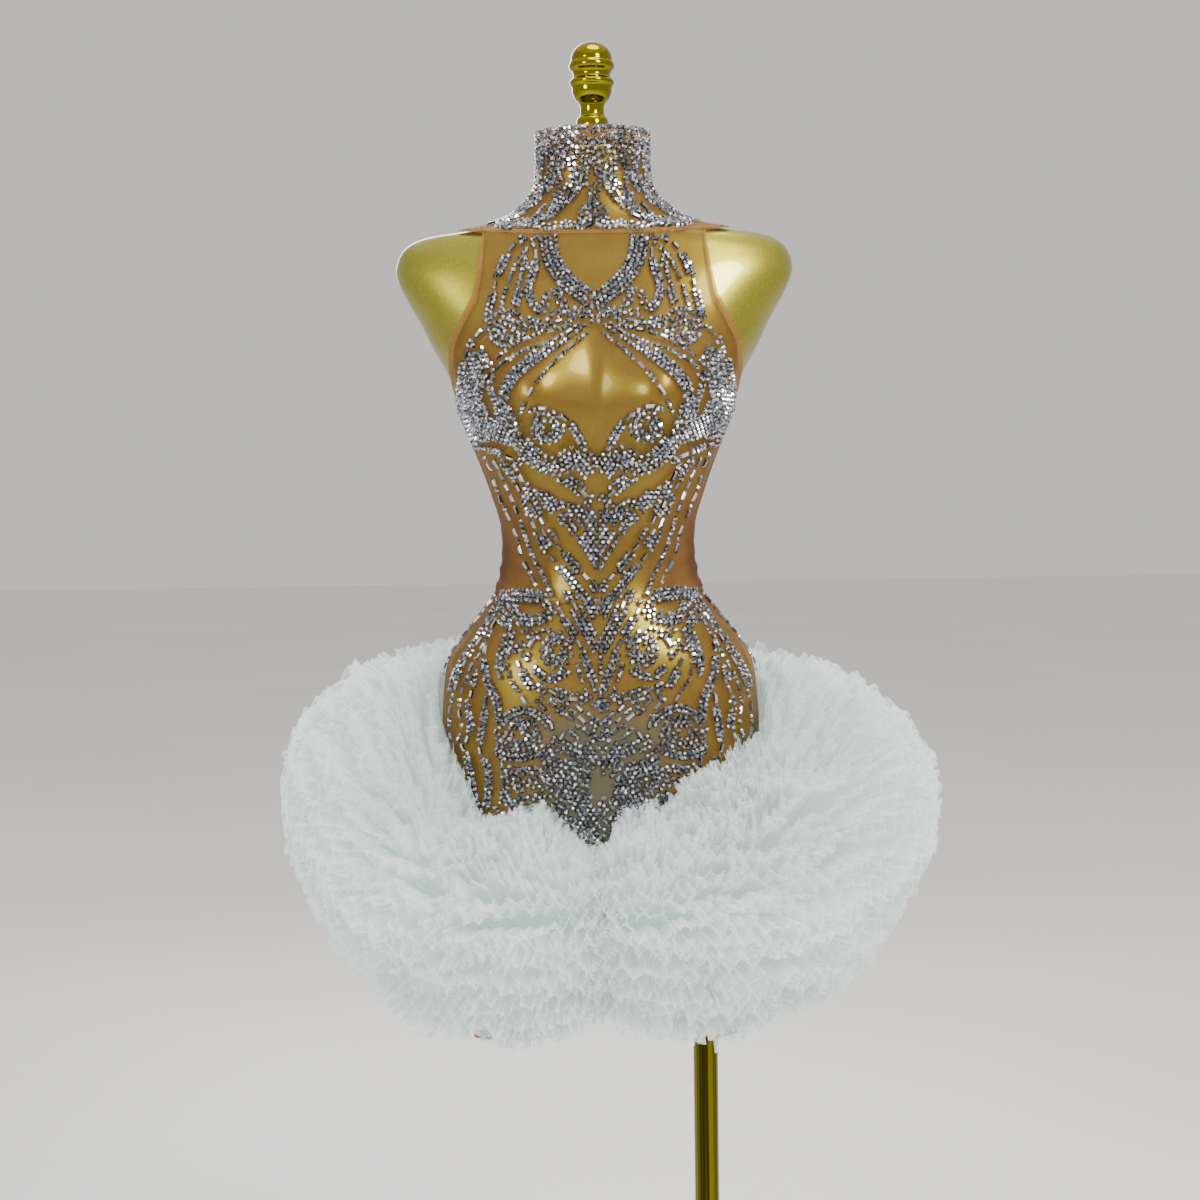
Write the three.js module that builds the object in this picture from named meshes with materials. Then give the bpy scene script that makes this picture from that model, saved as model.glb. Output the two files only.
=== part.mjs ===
// A sleeveless high-necked mini dress of nude stretch mesh with a thick white tulle ruffle, on a
// gold dress form with a neck finial, a pole and a round base plate.
// Millimetres. +Z is up, the front faces -Y, +X is the right side as seen from the front.
// The origin is the centre of the base plate's underside, on the floor.
import * as THREE from "three";

// Cloth and seams
const CLOTH = 1.2; // wall of a mesh panel
const CLOTH_CLEARANCE = 2.6; // from the form's surface to a panel's inside
const HALF_SEAM = 0.2; // from a seam line to the panel on each side of it
const TULLE = 1.8; // wall of one gathered frill, several layers of tulle
const SHELF_WALL = 2.2; // wall of the stiffened band that carries the frills
const SEAT = 0.3; // gap between two pieces that touch
const FRILL_SEAT = 0.6; // gap between a frill's root and the band

// Heights of the dress and of its form
const WAIST_SEAM_Z = 1070;
const COLLAR_TOP_Z = 1531;
const HEM_Z = 640;
const HEM_FRONT_RISE = 48; // the hem lifts at the front centre, behind the ruffle
const HEM_RISE_SPREAD = 26; // degrees from the front centre over which that rise fades
const FORM_BOTTOM_Z = 690;
const FORM_BOTTOM_ROUND = 12;
const NECK_TOP_Z = 1512;

// The stand
const PLATE_RADIUS = 200;
const PLATE_THICKNESS = 8;
const PLATE_BEVEL = 2;
const POLE_X = 102; // the pole stands to one side, under the form's left hip
const POLE_RADIUS = 12.5;
const NECK_CAP_RADIUS = 44;
const NECK_CAP_HEIGHT = 13;
const NECK_CENTRE_Y = 7.5;

// The figure that form and dress share: half width, depth in front of the middle plane and behind it,
// and the power of the superellipse that rounds each section. Rows run from the hem to above the neck.
const FIGURE = [
  { z: 600, half: 140, front: 90, back: 96, power: 2.3 },
  { z: 690, half: 146, front: 94, back: 102, power: 2.3 },
  { z: 780, half: 151, front: 97, back: 110, power: 2.3 },
  { z: 860, half: 154, front: 98, back: 117, power: 2.3 },
  { z: 925, half: 156, front: 97, back: 121, power: 2.25 },
  { z: 975, half: 154, front: 95, back: 117, power: 2.2 },
  { z: 1008, half: 149, front: 91, back: 107, power: 2.2 },
  { z: 1032, half: 134, front: 86, back: 96, power: 2.15 },
  { z: 1056, half: 115, front: 79, back: 85, power: 2.1 },
  { z: 1072, half: 98, front: 74, back: 77, power: 2.1 },
  { z: 1090, half: 86, front: 71, back: 72, power: 2.1 },
  { z: 1112, half: 82, front: 70, back: 70, power: 2.1 },
  { z: 1142, half: 86, front: 73, back: 70, power: 2.1 },
  { z: 1176, half: 100, front: 78, back: 74, power: 2.15 },
  { z: 1212, half: 115, front: 84, back: 80, power: 2.2 },
  { z: 1248, half: 130, front: 90, back: 84, power: 2.25 },
  { z: 1272, half: 136, front: 92, back: 86, power: 2.3 },
  { z: 1295, half: 147, front: 91, back: 87, power: 2.3 },
  { z: 1320, half: 161, front: 87, back: 87, power: 2.3 },
  { z: 1345, half: 173, front: 81, back: 86, power: 2.3 },
  { z: 1370, half: 187, front: 73, back: 83, power: 2.3 },
  { z: 1392, half: 196, front: 66, back: 79, power: 2.25 },
  { z: 1410, half: 193, front: 60, back: 75, power: 2.2 },
  { z: 1421, half: 184, front: 57, back: 72, power: 2.15 },
  { z: 1428, half: 168, front: 55, back: 70, power: 2.1 },
  { z: 1432, half: 140, front: 53, back: 68, power: 2.1 },
  { z: 1436, half: 112, front: 51, back: 66, power: 2.05 },
  { z: 1443, half: 88, front: 49, back: 64, power: 2.0 },
  { z: 1452, half: 75, front: 47, back: 62, power: 2.0 },
  { z: 1460, half: 65, front: 46, back: 61, power: 2.0 },
  { z: 1472, half: 56, front: 45, back: 60, power: 2.0 },
  { z: 1485, half: 52.5, front: 44.5, back: 59.5, power: 2.0 },
  { z: 1512, half: 51.5, front: 44, back: 59, power: 2.0 },
  { z: 1540, half: 51.5, front: 44, back: 59, power: 2.0 },
];

// The bust is two smooth mounds on the front of the figure; the cloth spans part of the dip between them.
const BUST = { x: 66, z: 1264, rise: 36, width: 48, above: 62, below: 40 };
const BUST_SPAN = 0.55; // share of the distance inside a mound's centre that the cloth keeps

// At the waist the stretched mesh stands off the form's sides.
const WAIST_EASE = { z: 1100, side: 11, above: 62, below: 34 };

// Armhole: distance of its edge from the middle, by height, where that is less than the figure's half width.
const ARMHOLE = [
  { z: 1262, x: 133.5 },
  { z: 1280, x: 137.5 },
  { z: 1298, x: 140.5 },
  { z: 1322, x: 139 },
  { z: 1349, x: 126 },
  { z: 1366, x: 117 },
  { z: 1391, x: 112 },
  { z: 1425, x: 107 },
  { z: 1445, x: 106 },
];

// Collar seam, as rows of FIGURE counted from its first: at the front centre, the shoulder and the back centre
const COLLAR_SEAM = { front: 23.6, shoulder: 26.8, back: 24.4 };

// The ruffle's root line on the skirt, from the front centre (0 degrees) to the back centre (180 degrees):
// the band's width outwards from the skirt, and the frills' length.
const RUFFLE_RIGHT = [
  { around: 1, height: 775, band: 78, frill: 88 },
  { around: 18, height: 774, band: 88, frill: 103 },
  { around: 40, height: 777, band: 90, frill: 102 },
  { around: 62, height: 806, band: 90, frill: 95 },
  { around: 82, height: 860, band: 103, frill: 92 },
  { around: 104, height: 904, band: 102, frill: 90 },
  { around: 136, height: 926, band: 90, frill: 90 },
  { around: 179.3, height: 932, band: 84, frill: 88 },
];
const RUFFLE_LEFT = [
  { around: 1, height: 775, band: 78, frill: 88 },
  { around: 18, height: 774, band: 90, frill: 102 },
  { around: 40, height: 778, band: 91, frill: 103 },
  { around: 62, height: 812, band: 88, frill: 96 },
  { around: 82, height: 868, band: 85, frill: 90 },
  { around: 104, height: 916, band: 88, frill: 92 },
  { around: 136, height: 934, band: 86, frill: 90 },
  { around: 179.3, height: 932, band: 84, frill: 88 },
];

// Frills on the band: where each is sewn (share of the band's width), how steeply it stands (degrees from
// the band), how far it curls over by its edge, its length above and below (shares of the frill length),
// the reach of its waves at the edge, and how many stretches it has from root to edge.
const FRILLS = [
  { name: "inner", at: 0.2, lean: 80, curl: 0, above: 0.86, below: 1.0, wave: 15, steps: 1 },
  { name: "middle", at: 0.6, lean: 62, curl: 12, above: 1.0, below: 1.06, wave: 22, steps: 2 },
  { name: "outer", at: 0.97, lean: 27, curl: 8, above: 0.84, below: 0.84, wave: 23, steps: 2 },
];
const WAVES = 14; // in each frill
const STEPS_PER_WAVE = 4;
const SLOPE_SHARE = 0.4; // how far a frill leans to stay square to a root line that climbs

// Numbers of divisions
const FORM_COLUMNS = 32;
const BAND_COLUMNS = 28;
const ROUND_SIDES = 24;

const GOLD_PAINT = { color: 0xb59a3c, roughness: 0.28, metalness: 0.85 };
const GOLD_CHROME = { color: 0xc8b02e, roughness: 0.08, metalness: 1.0 };
const NUDE_MESH = { color: 0xb4835a, roughness: 0.6, metalness: 0.0 };
const WHITE_TULLE = { color: 0xe6eeea, roughness: 0.8, metalness: 0.0 };

const DEGREE = Math.PI / 180;

// Catmull-Rom through a column of a table, at a row number that may be a fraction.
function rowValue(table, column, row) {
  const last = table.length - 1;
  const at = Math.min(Math.max(row, 0), last);
  const i = Math.min(Math.floor(at), last - 1);
  const t = at - i;
  const value = (k) => table[Math.min(Math.max(k, 0), last)][column];
  const [a, b, c, d] = [value(i - 1), value(i), value(i + 1), value(i + 2)];
  return b + 0.5 * t * (c - a + t * (2 * a - 5 * b + 4 * c - d + t * (3 * (b - c) + d - a)));
}

// The row number at which a column that only grows reaches a value.
function rowAt(table, column, value) {
  let low = 0;
  let high = table.length - 1;
  for (let i = 0; i < 40; i++) {
    const middle = (low + high) / 2;
    if (rowValue(table, column, middle) < value) low = middle;
    else high = middle;
  }
  return (low + high) / 2;
}

const signedPower = (value, power) => Math.sign(value) * Math.abs(value) ** power;

// How far the bust stands out at a point; span below 1 fills the dip between the mounds.
function bustRise(x, z, span) {
  const inside = BUST.x - Math.abs(x);
  const across = (inside > 0 ? inside * span : inside) / BUST.width;
  const along = (z - BUST.z) / (z > BUST.z ? BUST.above : BUST.below);
  return BUST.rise * Math.exp(-(across ** 2) - along ** 2);
}

// A point of the figure: angle from the front centre in radians, positive towards +X, and a row of FIGURE.
function figurePoint(angle, row, span = 1) {
  const z = rowValue(FIGURE, "z", row);
  const round = 2 / rowValue(FIGURE, "power", row);
  const isFront = Math.cos(angle) >= 0;
  const depth = rowValue(FIGURE, isFront ? "front" : "back", row);
  const x = rowValue(FIGURE, "half", row) * signedPower(Math.sin(angle), round);
  const across = signedPower(Math.cos(angle), round);
  const y = -depth * across;
  const bust = isFront ? bustRise(x, z, span) * Math.min(1, across * 1.6) : 0;
  return new THREE.Vector3(x, y - bust, z);
}

function figureNormal(angle, row, span) {
  const turn = 1.5 * DEGREE;
  const step = 0.06;
  const round = figurePoint(angle + turn, row, span).sub(figurePoint(angle - turn, row, span));
  const up = figurePoint(angle, row + step, span).sub(figurePoint(angle, row - step, span));
  return round.cross(up).normalize();
}

// A point of the dress, so far out from the figure.
function dressPoint(angle, row, out) {
  const point = figurePoint(angle, row, BUST_SPAN);
  const off = (point.z - WAIST_EASE.z) / (point.z > WAIST_EASE.z ? WAIST_EASE.above : WAIST_EASE.below);
  point.x += WAIST_EASE.side * Math.exp(-(off ** 2)) * signedPower(Math.sin(angle), 1.5);
  return point.addScaledVector(figureNormal(angle, row, BUST_SPAN), out);
}

// The angle at which a panel's edge lies so far in front of the side (or behind it).
function seamAngle(row, clearance) {
  const depth = rowValue(FIGURE, "front", row);
  const power = rowValue(FIGURE, "power", row);
  return Math.acos((clearance / depth) ** (power / 2));
}

// Angle from the middle at which a bodice panel ends: the side or shoulder seam, or the armhole.
function bodiceEdge(row) {
  const seam = seamAngle(row, HALF_SEAM);
  const z = rowValue(FIGURE, "z", row);
  const armhole = rowValue(ARMHOLE, "x", rowAt(ARMHOLE, "z", z));
  const share = armhole / rowValue(FIGURE, "half", row);
  if (z < ARMHOLE[0].z || share >= 1) return seam;
  return Math.min(seam, Math.asin(share ** (rowValue(FIGURE, "power", row) / 2)));
}

// The collar seam's row, with the angle measured from the front centre.
function collarSeamRow(angle) {
  const turned = Math.abs(angle) / (90 * DEGREE);
  const centre = turned <= 1 ? COLLAR_SEAM.front : COLLAR_SEAM.back;
  const toShoulder = turned <= 1 ? turned : 2 - turned;
  return centre + (COLLAR_SEAM.shoulder - centre) * toShoulder ** 2;
}

function hemRow(angle) {
  const rise = HEM_FRONT_RISE * Math.exp(-((angle / (HEM_RISE_SPREAD * DEGREE)) ** 2));
  return rowAt(FIGURE, "z", HEM_Z + rise);
}

// A closed geometry from points and triangles given by point numbers.
function geometryOf(points, triangles) {
  const geometry = new THREE.BufferGeometry();
  geometry.setAttribute("position", new THREE.Float32BufferAttribute(points.flatMap((p) => p.toArray()), 3));
  geometry.setIndex(triangles);
  geometry.computeVertexNormals();
  return geometry;
}

// A wall from a grid of outer points and the matching grid of inner points. Seen from outside,
// columns run to the right and rows run up. Each quad is split along its shorter diagonal.
function wallGeometry(rows, columns, outer, inner) {
  const points = [];
  for (const side of [outer, inner]) {
    for (let j = 0; j <= rows; j++) {
      for (let i = 0; i <= columns; i++) points.push(side(i / columns, j / rows));
    }
  }
  const perSide = (rows + 1) * (columns + 1);
  const number = (i, j, side) => side * perSide + j * (columns + 1) + i;
  const triangles = [];
  const quad = (a, b, c, d) => {
    const isFirstShorter = points[a].distanceTo(points[c]) < points[b].distanceTo(points[d]);
    if (isFirstShorter) triangles.push(a, b, c, a, c, d);
    else triangles.push(b, c, d, b, d, a);
  };
  for (let j = 0; j < rows; j++) {
    for (let i = 0; i < columns; i++) {
      quad(number(i, j, 0), number(i + 1, j, 0), number(i + 1, j + 1, 0), number(i, j + 1, 0));
      quad(number(i, j + 1, 1), number(i + 1, j + 1, 1), number(i + 1, j, 1), number(i, j, 1));
    }
  }
  for (let i = 0; i < columns; i++) {
    quad(number(i, 0, 1), number(i + 1, 0, 1), number(i + 1, 0, 0), number(i, 0, 0));
    quad(number(i, rows, 0), number(i + 1, rows, 0), number(i + 1, rows, 1), number(i, rows, 1));
  }
  for (let j = 0; j < rows; j++) {
    quad(number(0, j, 1), number(0, j, 0), number(0, j + 1, 0), number(0, j + 1, 1));
    quad(number(columns, j, 0), number(columns, j, 1), number(columns, j + 1, 1), number(columns, j + 1, 0));
  }
  return geometryOf(points, triangles);
}

// A panel of the dress, from a function that gives angle and row for two shares from 0 to 1.
function panelGeometry(rows, columns, place) {
  const at = (out) => (u, v) => {
    const { angle, row } = place(u, v);
    return dressPoint(angle, row, out);
  };
  return wallGeometry(rows, columns, at(CLOTH_CLEARANCE + CLOTH), at(CLOTH_CLEARANCE));
}

const mix = (a, b, share) => a + (b - a) * share;

const seamRowGap = 0.02; // in rows of FIGURE, about HALF_SEAM at the waist and the collar seam
const waistRow = rowAt(FIGURE, "z", WAIST_SEAM_Z);

// Front half of the bodice, from the waist to the collar seam, with the armholes at its sides.
function frontBodice() {
  return panelGeometry(22, 16, (u, v) => {
    const edgeRow = mix(waistRow + seamRowGap, COLLAR_SEAM.shoulder - seamRowGap, v);
    const angle = (2 * u - 1) * bodiceEdge(edgeRow);
    const topRow = collarSeamRow((2 * u - 1) * 90 * DEGREE) - seamRowGap;
    return { angle, row: mix(waistRow + seamRowGap, topRow, v) };
  });
}

// One back half of the bodice; side is 1 for +X and -1 for -X. The two meet at the centre-back seam.
// Columns run from the side to the centre, so on the -X half the rows run down.
function backBodice(side) {
  return panelGeometry(18, 9, (u, along) => {
    const v = side > 0 ? along : 1 - along;
    const edgeRow = mix(waistRow + seamRowGap, COLLAR_SEAM.shoulder - seamRowGap, v);
    const centre = HALF_SEAM / rowValue(FIGURE, "half", edgeRow);
    const fromBack = mix(bodiceEdge(edgeRow), centre, u);
    const topRow = collarSeamRow((90 + 90 * u) * DEGREE) - seamRowGap;
    return { angle: side * (180 * DEGREE - fromBack), row: mix(waistRow + seamRowGap, topRow, v) };
  });
}

// Front or back of the skirt, from the hem to the waist seam; facing is 0 for the front, 180 degrees for the back.
function skirtPanel(facing) {
  return panelGeometry(10, 14, (u, v) => {
    const atEdge = mix(hemRow(90 * DEGREE), waistRow - seamRowGap, v);
    const angle = facing + (2 * u - 1) * seamAngle(atEdge, HALF_SEAM);
    const turned = angle > 180 * DEGREE ? 360 * DEGREE - angle : angle;
    return { angle, row: mix(hemRow(turned), waistRow - seamRowGap, v) };
  });
}

// The stand-up collar with its flared foot, open only along the centre-back seam.
function collar() {
  return panelGeometry(7, 28, (u, v) => {
    const topRow = rowAt(FIGURE, "z", COLLAR_TOP_Z);
    const centre = HALF_SEAM / rowValue(FIGURE, "back", topRow);
    const angle = (2 * u - 1) * (180 * DEGREE - centre);
    return { angle, row: mix(collarSeamRow(angle) + seamRowGap, topRow, v) };
  });
}

// The frame of the ruffle at a share of its length from the front centre: a point on the skirt, the
// direction outwards and the one across the root line, and the sizes there. Side is 1 or -1.
function ruffleFrame(table, side, share) {
  const root = (at) => {
    const row = at * (table.length - 1);
    const angle = side * rowValue(table, "around", row) * DEGREE;
    const height = rowValue(table, "height", row);
    return { row, angle, point: dressPoint(angle, rowAt(FIGURE, "z", height), CLOTH_CLEARANCE + CLOTH) };
  };
  const here = root(share);
  const step = 0.01;
  const along = root(Math.min(share + step, 1)).point.sub(root(Math.max(share - step, 0)).point).normalize();
  const out = figureNormal(here.angle, rowAt(FIGURE, "z", here.point.z), 1).setZ(0).normalize();
  const square = new THREE.Vector3().crossVectors(out, along).multiplyScalar(side).normalize();
  const across = new THREE.Vector3(0, 0, 1).lerp(square, SLOPE_SHARE);
  across.addScaledVector(out, -across.dot(out)).normalize();
  return {
    point: here.point,
    out,
    across,
    band: rowValue(table, "band", here.row),
    frill: rowValue(table, "frill", here.row),
  };
}

// The stiffened band that stands out from the skirt and carries the frills: points of its own lie on the
// lines where the inner frills are sewn on.
function ruffleBand(table, side) {
  const shares = [1, FRILLS[1].at, FRILLS[0].at, 0];
  const rows = shares.length - 1;
  const at = (lift) => (u, v) => {
    const frame = ruffleFrame(table, side, side > 0 ? u : 1 - u);
    const reach = mix(2 * SEAT, frame.band, shares[Math.round(v * rows)]);
    return frame.point.clone().addScaledVector(frame.out, reach).addScaledVector(frame.across, lift);
  };
  return wallGeometry(rows, BAND_COLUMNS, at(SHELF_WALL / 2), at(-SHELF_WALL / 2));
}

// The middle of a frill's wall, at a column along it and a share of its length out from the root.
function frillPoint(table, side, frill, face, column, reach) {
  const columns = WAVES * STEPS_PER_WAVE;
  const frame = ruffleFrame(table, side, Math.min(Math.max(column / columns, 0), 1));
  const crest = [0, 1, 0, -1][((column % STEPS_PER_WAVE) + STEPS_PER_WAVE) % STEPS_PER_WAVE];
  const unevenness = 1 + 0.2 * Math.sin(column * 0.9 + frill.lean) + 0.1 * Math.sin(column * 2.3);
  const length = frame.frill * (face > 0 ? frill.above : frill.below) * (1 + 0.04 * Math.sin(column * 1.7));
  const lean = (frill.lean - frill.curl * reach ** 2) * DEGREE;
  const steepness = { out: Math.cos(lean), across: Math.sin(lean) * face };
  const lift = FRILL_SEAT + SHELF_WALL / 2 + (TULLE / 2) * Math.cos(frill.lean * DEGREE);
  const wave = frill.wave * crest * unevenness * reach * (frame.frill / 100);
  const out = frame.band * frill.at + length * reach * steepness.out - wave * steepness.across;
  const across = face * lift + length * reach * steepness.across + wave * steepness.out;
  return frame.point.clone().addScaledVector(frame.out, out).addScaledVector(frame.across, across);
}

// One gathered frill, above the band (face 1) or below it (face -1).
function frillGeometry(table, side, frill, face) {
  const columns = WAVES * STEPS_PER_WAVE;
  const middle = (column, reach) => frillPoint(table, side, frill, face, column, reach);
  const at = (offset) => (u, v) => {
    const column = Math.round((side * face > 0 ? u : 1 - u) * columns);
    const along = middle(Math.min(column + 1, columns), v).sub(middle(Math.max(column - 1, 0), v));
    const outwards = middle(column, Math.max(v, 0.5)).sub(middle(column, 0));
    const normal = along.cross(outwards).multiplyScalar(side * face).normalize();
    return middle(column, v).addScaledVector(normal, offset);
  };
  return wallGeometry(frill.steps, columns, at(TULLE / 2), at(-TULLE / 2));
}

// A solid closed over a stack of rings with as many points each, from the lowest up.
function stackGeometry(rings) {
  const count = rings[0].length;
  const points = rings.flat();
  const triangles = [];
  for (let j = 0; j < rings.length - 1; j++) {
    for (let i = 0; i < count; i++) {
      const a = j * count + i;
      const b = j * count + ((i + 1) % count);
      triangles.push(a, b, b + count, a, b + count, a + count);
    }
  }
  const centreOf = (ring) => ring.reduce((sum, p) => sum.add(p), new THREE.Vector3()).divideScalar(count);
  const bottom = points.push(centreOf(rings[0])) - 1;
  const top = points.push(centreOf(rings[rings.length - 1])) - 1;
  const lastRing = (rings.length - 1) * count;
  for (let i = 0; i < count; i++) {
    const next = (i + 1) % count;
    triangles.push(bottom, next, i, top, lastRing + i, lastRing + next);
  }
  return geometryOf(points, triangles);
}

// The dress form: smooth, without limbs, with a rounded lower edge and a flat neck top.
function formGeometry() {
  const ring = (row, inset, z) => {
    const points = [];
    for (let i = 0; i < FORM_COLUMNS; i++) {
      const point = figurePoint((i / FORM_COLUMNS) * 360 * DEGREE, row);
      const width = Math.hypot(point.x, point.y);
      points.push(new THREE.Vector3(point.x, point.y, 0).multiplyScalar(1 - inset / width).setZ(z ?? point.z));
    }
    return points;
  };
  const rings = [];
  const bottomRow = rowAt(FIGURE, "z", FORM_BOTTOM_Z + FORM_BOTTOM_ROUND);
  for (const turn of [0, 45]) {
    const inset = FORM_BOTTOM_ROUND * (1 - Math.sin(turn * DEGREE));
    const z = FORM_BOTTOM_Z + FORM_BOTTOM_ROUND * (1 - Math.cos(turn * DEGREE));
    rings.push(ring(bottomRow, inset, z));
  }
  rings.push(ring(bottomRow, 0));
  const neckRow = rowAt(FIGURE, "z", NECK_TOP_Z);
  for (let row = Math.ceil(bottomRow + 0.3); row < neckRow - 0.3; row++) rings.push(ring(row, 0));
  rings.push(ring(neckRow, 0));
  return stackGeometry(rings);
}

// A turned piece from a profile of [radius, height] pairs that runs up and starts and ends on the axis.
function turned(profile, sides = ROUND_SIDES) {
  const geometry = new THREE.LatheGeometry(profile.map(([radius, height]) => new THREE.Vector2(radius, height)), sides);
  return geometry.rotateX(90 * DEGREE);
}

function plateGeometry() {
  return turned(
    [
      [0, 0],
      [PLATE_RADIUS - PLATE_BEVEL, 0],
      [PLATE_RADIUS, PLATE_BEVEL],
      [PLATE_RADIUS, PLATE_THICKNESS - PLATE_BEVEL],
      [PLATE_RADIUS - PLATE_BEVEL, PLATE_THICKNESS],
      [0, PLATE_THICKNESS],
    ],
    2 * ROUND_SIDES,
  );
}

// The pole stands on the plate and ends under the form.
function poleGeometry() {
  const bottom = PLATE_THICKNESS + SEAT;
  const top = FORM_BOTTOM_Z - SEAT;
  return turned([
    [0, bottom],
    [POLE_RADIUS, bottom],
    [POLE_RADIUS, top],
    [0, top],
  ]);
}

const capBottom = NECK_TOP_Z + SEAT;
const finialBottom = capBottom + NECK_CAP_HEIGHT + SEAT;

function neckCapGeometry() {
  const bevel = 1.5;
  return turned([
    [0, capBottom],
    [NECK_CAP_RADIUS - bevel, capBottom],
    [NECK_CAP_RADIUS, capBottom + bevel],
    [NECK_CAP_RADIUS, capBottom + NECK_CAP_HEIGHT - bevel],
    [NECK_CAP_RADIUS - bevel, capBottom + NECK_CAP_HEIGHT],
    [0, capBottom + NECK_CAP_HEIGHT],
  ]);
}

// The turned finial: heights are above the neck cap.
function finialGeometry() {
  const profile = [
    { radius: 0, rise: 0 },
    { radius: 16, rise: 0 },
    { radius: 16, rise: 17 },
    { radius: 12, rise: 23 },
    { radius: 12, rise: 31 },
    { radius: 17, rise: 39 },
    { radius: 20, rise: 46 },
    { radius: 20.2, rise: 51 },
    { radius: 22, rise: 55 },
    { radius: 19.2, rise: 59 },
    { radius: 19.4, rise: 65 },
    { radius: 22.5, rise: 71 },
    { radius: 20.5, rise: 76 },
    { radius: 18.6, rise: 83 },
    { radius: 14, rise: 89 },
    { radius: 7.5, rise: 93 },
    { radius: 0, rise: 94.5 },
  ];
  return turned(profile.map(({ radius, rise }) => [radius, finialBottom + rise]), 20);
}

const dress = new THREE.Group();

function addPiece(name, geometry, look, parent = dress) {
  const mesh = new THREE.Mesh(geometry, new THREE.MeshStandardMaterial(look));
  mesh.name = name;
  parent.add(mesh);
  return mesh;
}

addPiece("front_bodice", frontBodice(), NUDE_MESH);
addPiece("back_bodice_right", backBodice(1), NUDE_MESH);
addPiece("back_bodice_left", backBodice(-1), NUDE_MESH);
addPiece("front_skirt", skirtPanel(0), NUDE_MESH);
addPiece("back_skirt", skirtPanel(180 * DEGREE), NUDE_MESH);
addPiece("collar", collar(), NUDE_MESH);

for (const { table, side, word } of [
  { table: RUFFLE_RIGHT, side: 1, word: "right" },
  { table: RUFFLE_LEFT, side: -1, word: "left" },
]) {
  addPiece(`ruffle_${word}_band`, ruffleBand(table, side), WHITE_TULLE);
  for (const frill of FRILLS) {
    addPiece(`ruffle_${word}_${frill.name}_upper`, frillGeometry(table, side, frill, 1), WHITE_TULLE);
    addPiece(`ruffle_${word}_${frill.name}_lower`, frillGeometry(table, side, frill, -1), WHITE_TULLE);
  }
}

const stand = new THREE.Group();
addPiece("form", formGeometry(), GOLD_PAINT, stand);
addPiece("base_plate", plateGeometry(), GOLD_CHROME, stand);
const neck = new THREE.Group();
neck.position.set(0, NECK_CENTRE_Y, 0);
addPiece("neck_cap", neckCapGeometry(), GOLD_CHROME, neck);
addPiece("finial", finialGeometry(), GOLD_CHROME, neck);
addPiece("pole", poleGeometry(), GOLD_CHROME, stand).position.set(POLE_X, 0, 0);
stand.add(neck);

const model = new THREE.Group();
model.add(dress, stand);

export default model;
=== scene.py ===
import math

import bpy
import numpy as np
from mathutils import Euler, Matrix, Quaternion, Vector


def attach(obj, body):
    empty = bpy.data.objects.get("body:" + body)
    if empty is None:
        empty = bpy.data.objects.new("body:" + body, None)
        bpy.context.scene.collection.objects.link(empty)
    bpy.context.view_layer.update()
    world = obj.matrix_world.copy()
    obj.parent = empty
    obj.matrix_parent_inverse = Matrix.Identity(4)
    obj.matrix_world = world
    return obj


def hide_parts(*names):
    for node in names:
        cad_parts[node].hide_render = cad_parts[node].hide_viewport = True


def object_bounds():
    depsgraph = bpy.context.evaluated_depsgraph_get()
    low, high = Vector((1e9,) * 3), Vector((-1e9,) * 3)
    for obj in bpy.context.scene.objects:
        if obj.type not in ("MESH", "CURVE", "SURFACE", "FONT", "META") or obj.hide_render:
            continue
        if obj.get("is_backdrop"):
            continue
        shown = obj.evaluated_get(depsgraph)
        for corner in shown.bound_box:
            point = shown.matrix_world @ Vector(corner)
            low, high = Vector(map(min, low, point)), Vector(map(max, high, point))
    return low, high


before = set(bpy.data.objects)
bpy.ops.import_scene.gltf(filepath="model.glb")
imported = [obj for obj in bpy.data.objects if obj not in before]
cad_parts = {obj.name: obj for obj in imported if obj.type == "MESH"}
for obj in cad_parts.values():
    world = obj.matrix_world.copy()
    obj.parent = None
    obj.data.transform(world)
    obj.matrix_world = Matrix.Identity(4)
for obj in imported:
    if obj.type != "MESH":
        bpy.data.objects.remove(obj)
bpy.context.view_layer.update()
rng = np.random.default_rng(11)
mm = 0.001
degree = math.pi / 180

# camera: eye height, straight on, a little above the waist
view = {
    "distance": 2000,
    "aside": 1,
    "height": 1194,
    "tilt": math.atan(0.063),  # looks slightly down
    "roll": 0.8,  # degrees; the picture leans a little
    "lens": 60,
    "sensor": 36,
    "picture": 1200,  # pixels across and up
}
focalPixels = view["lens"] * view["picture"] / view["sensor"]
cameraData = bpy.data.cameras.new("viewCamera")
cameraData.lens = view["lens"]
cameraData.sensor_width = view["sensor"]
camera = bpy.data.objects.new("viewCamera", cameraData)
bpy.context.scene.collection.objects.link(camera)
camera.rotation_mode = "QUATERNION"
level = Euler((math.pi / 2 - view["tilt"], 0, 0)).to_quaternion()
camera.rotation_quaternion = level @ Quaternion((0, 0, 1), -view["roll"] * degree)
camera.location = (view["aside"] * mm, -view["distance"] * mm, view["height"] * mm)
bpy.context.scene.camera = camera

print("stage 1: figure")
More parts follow.
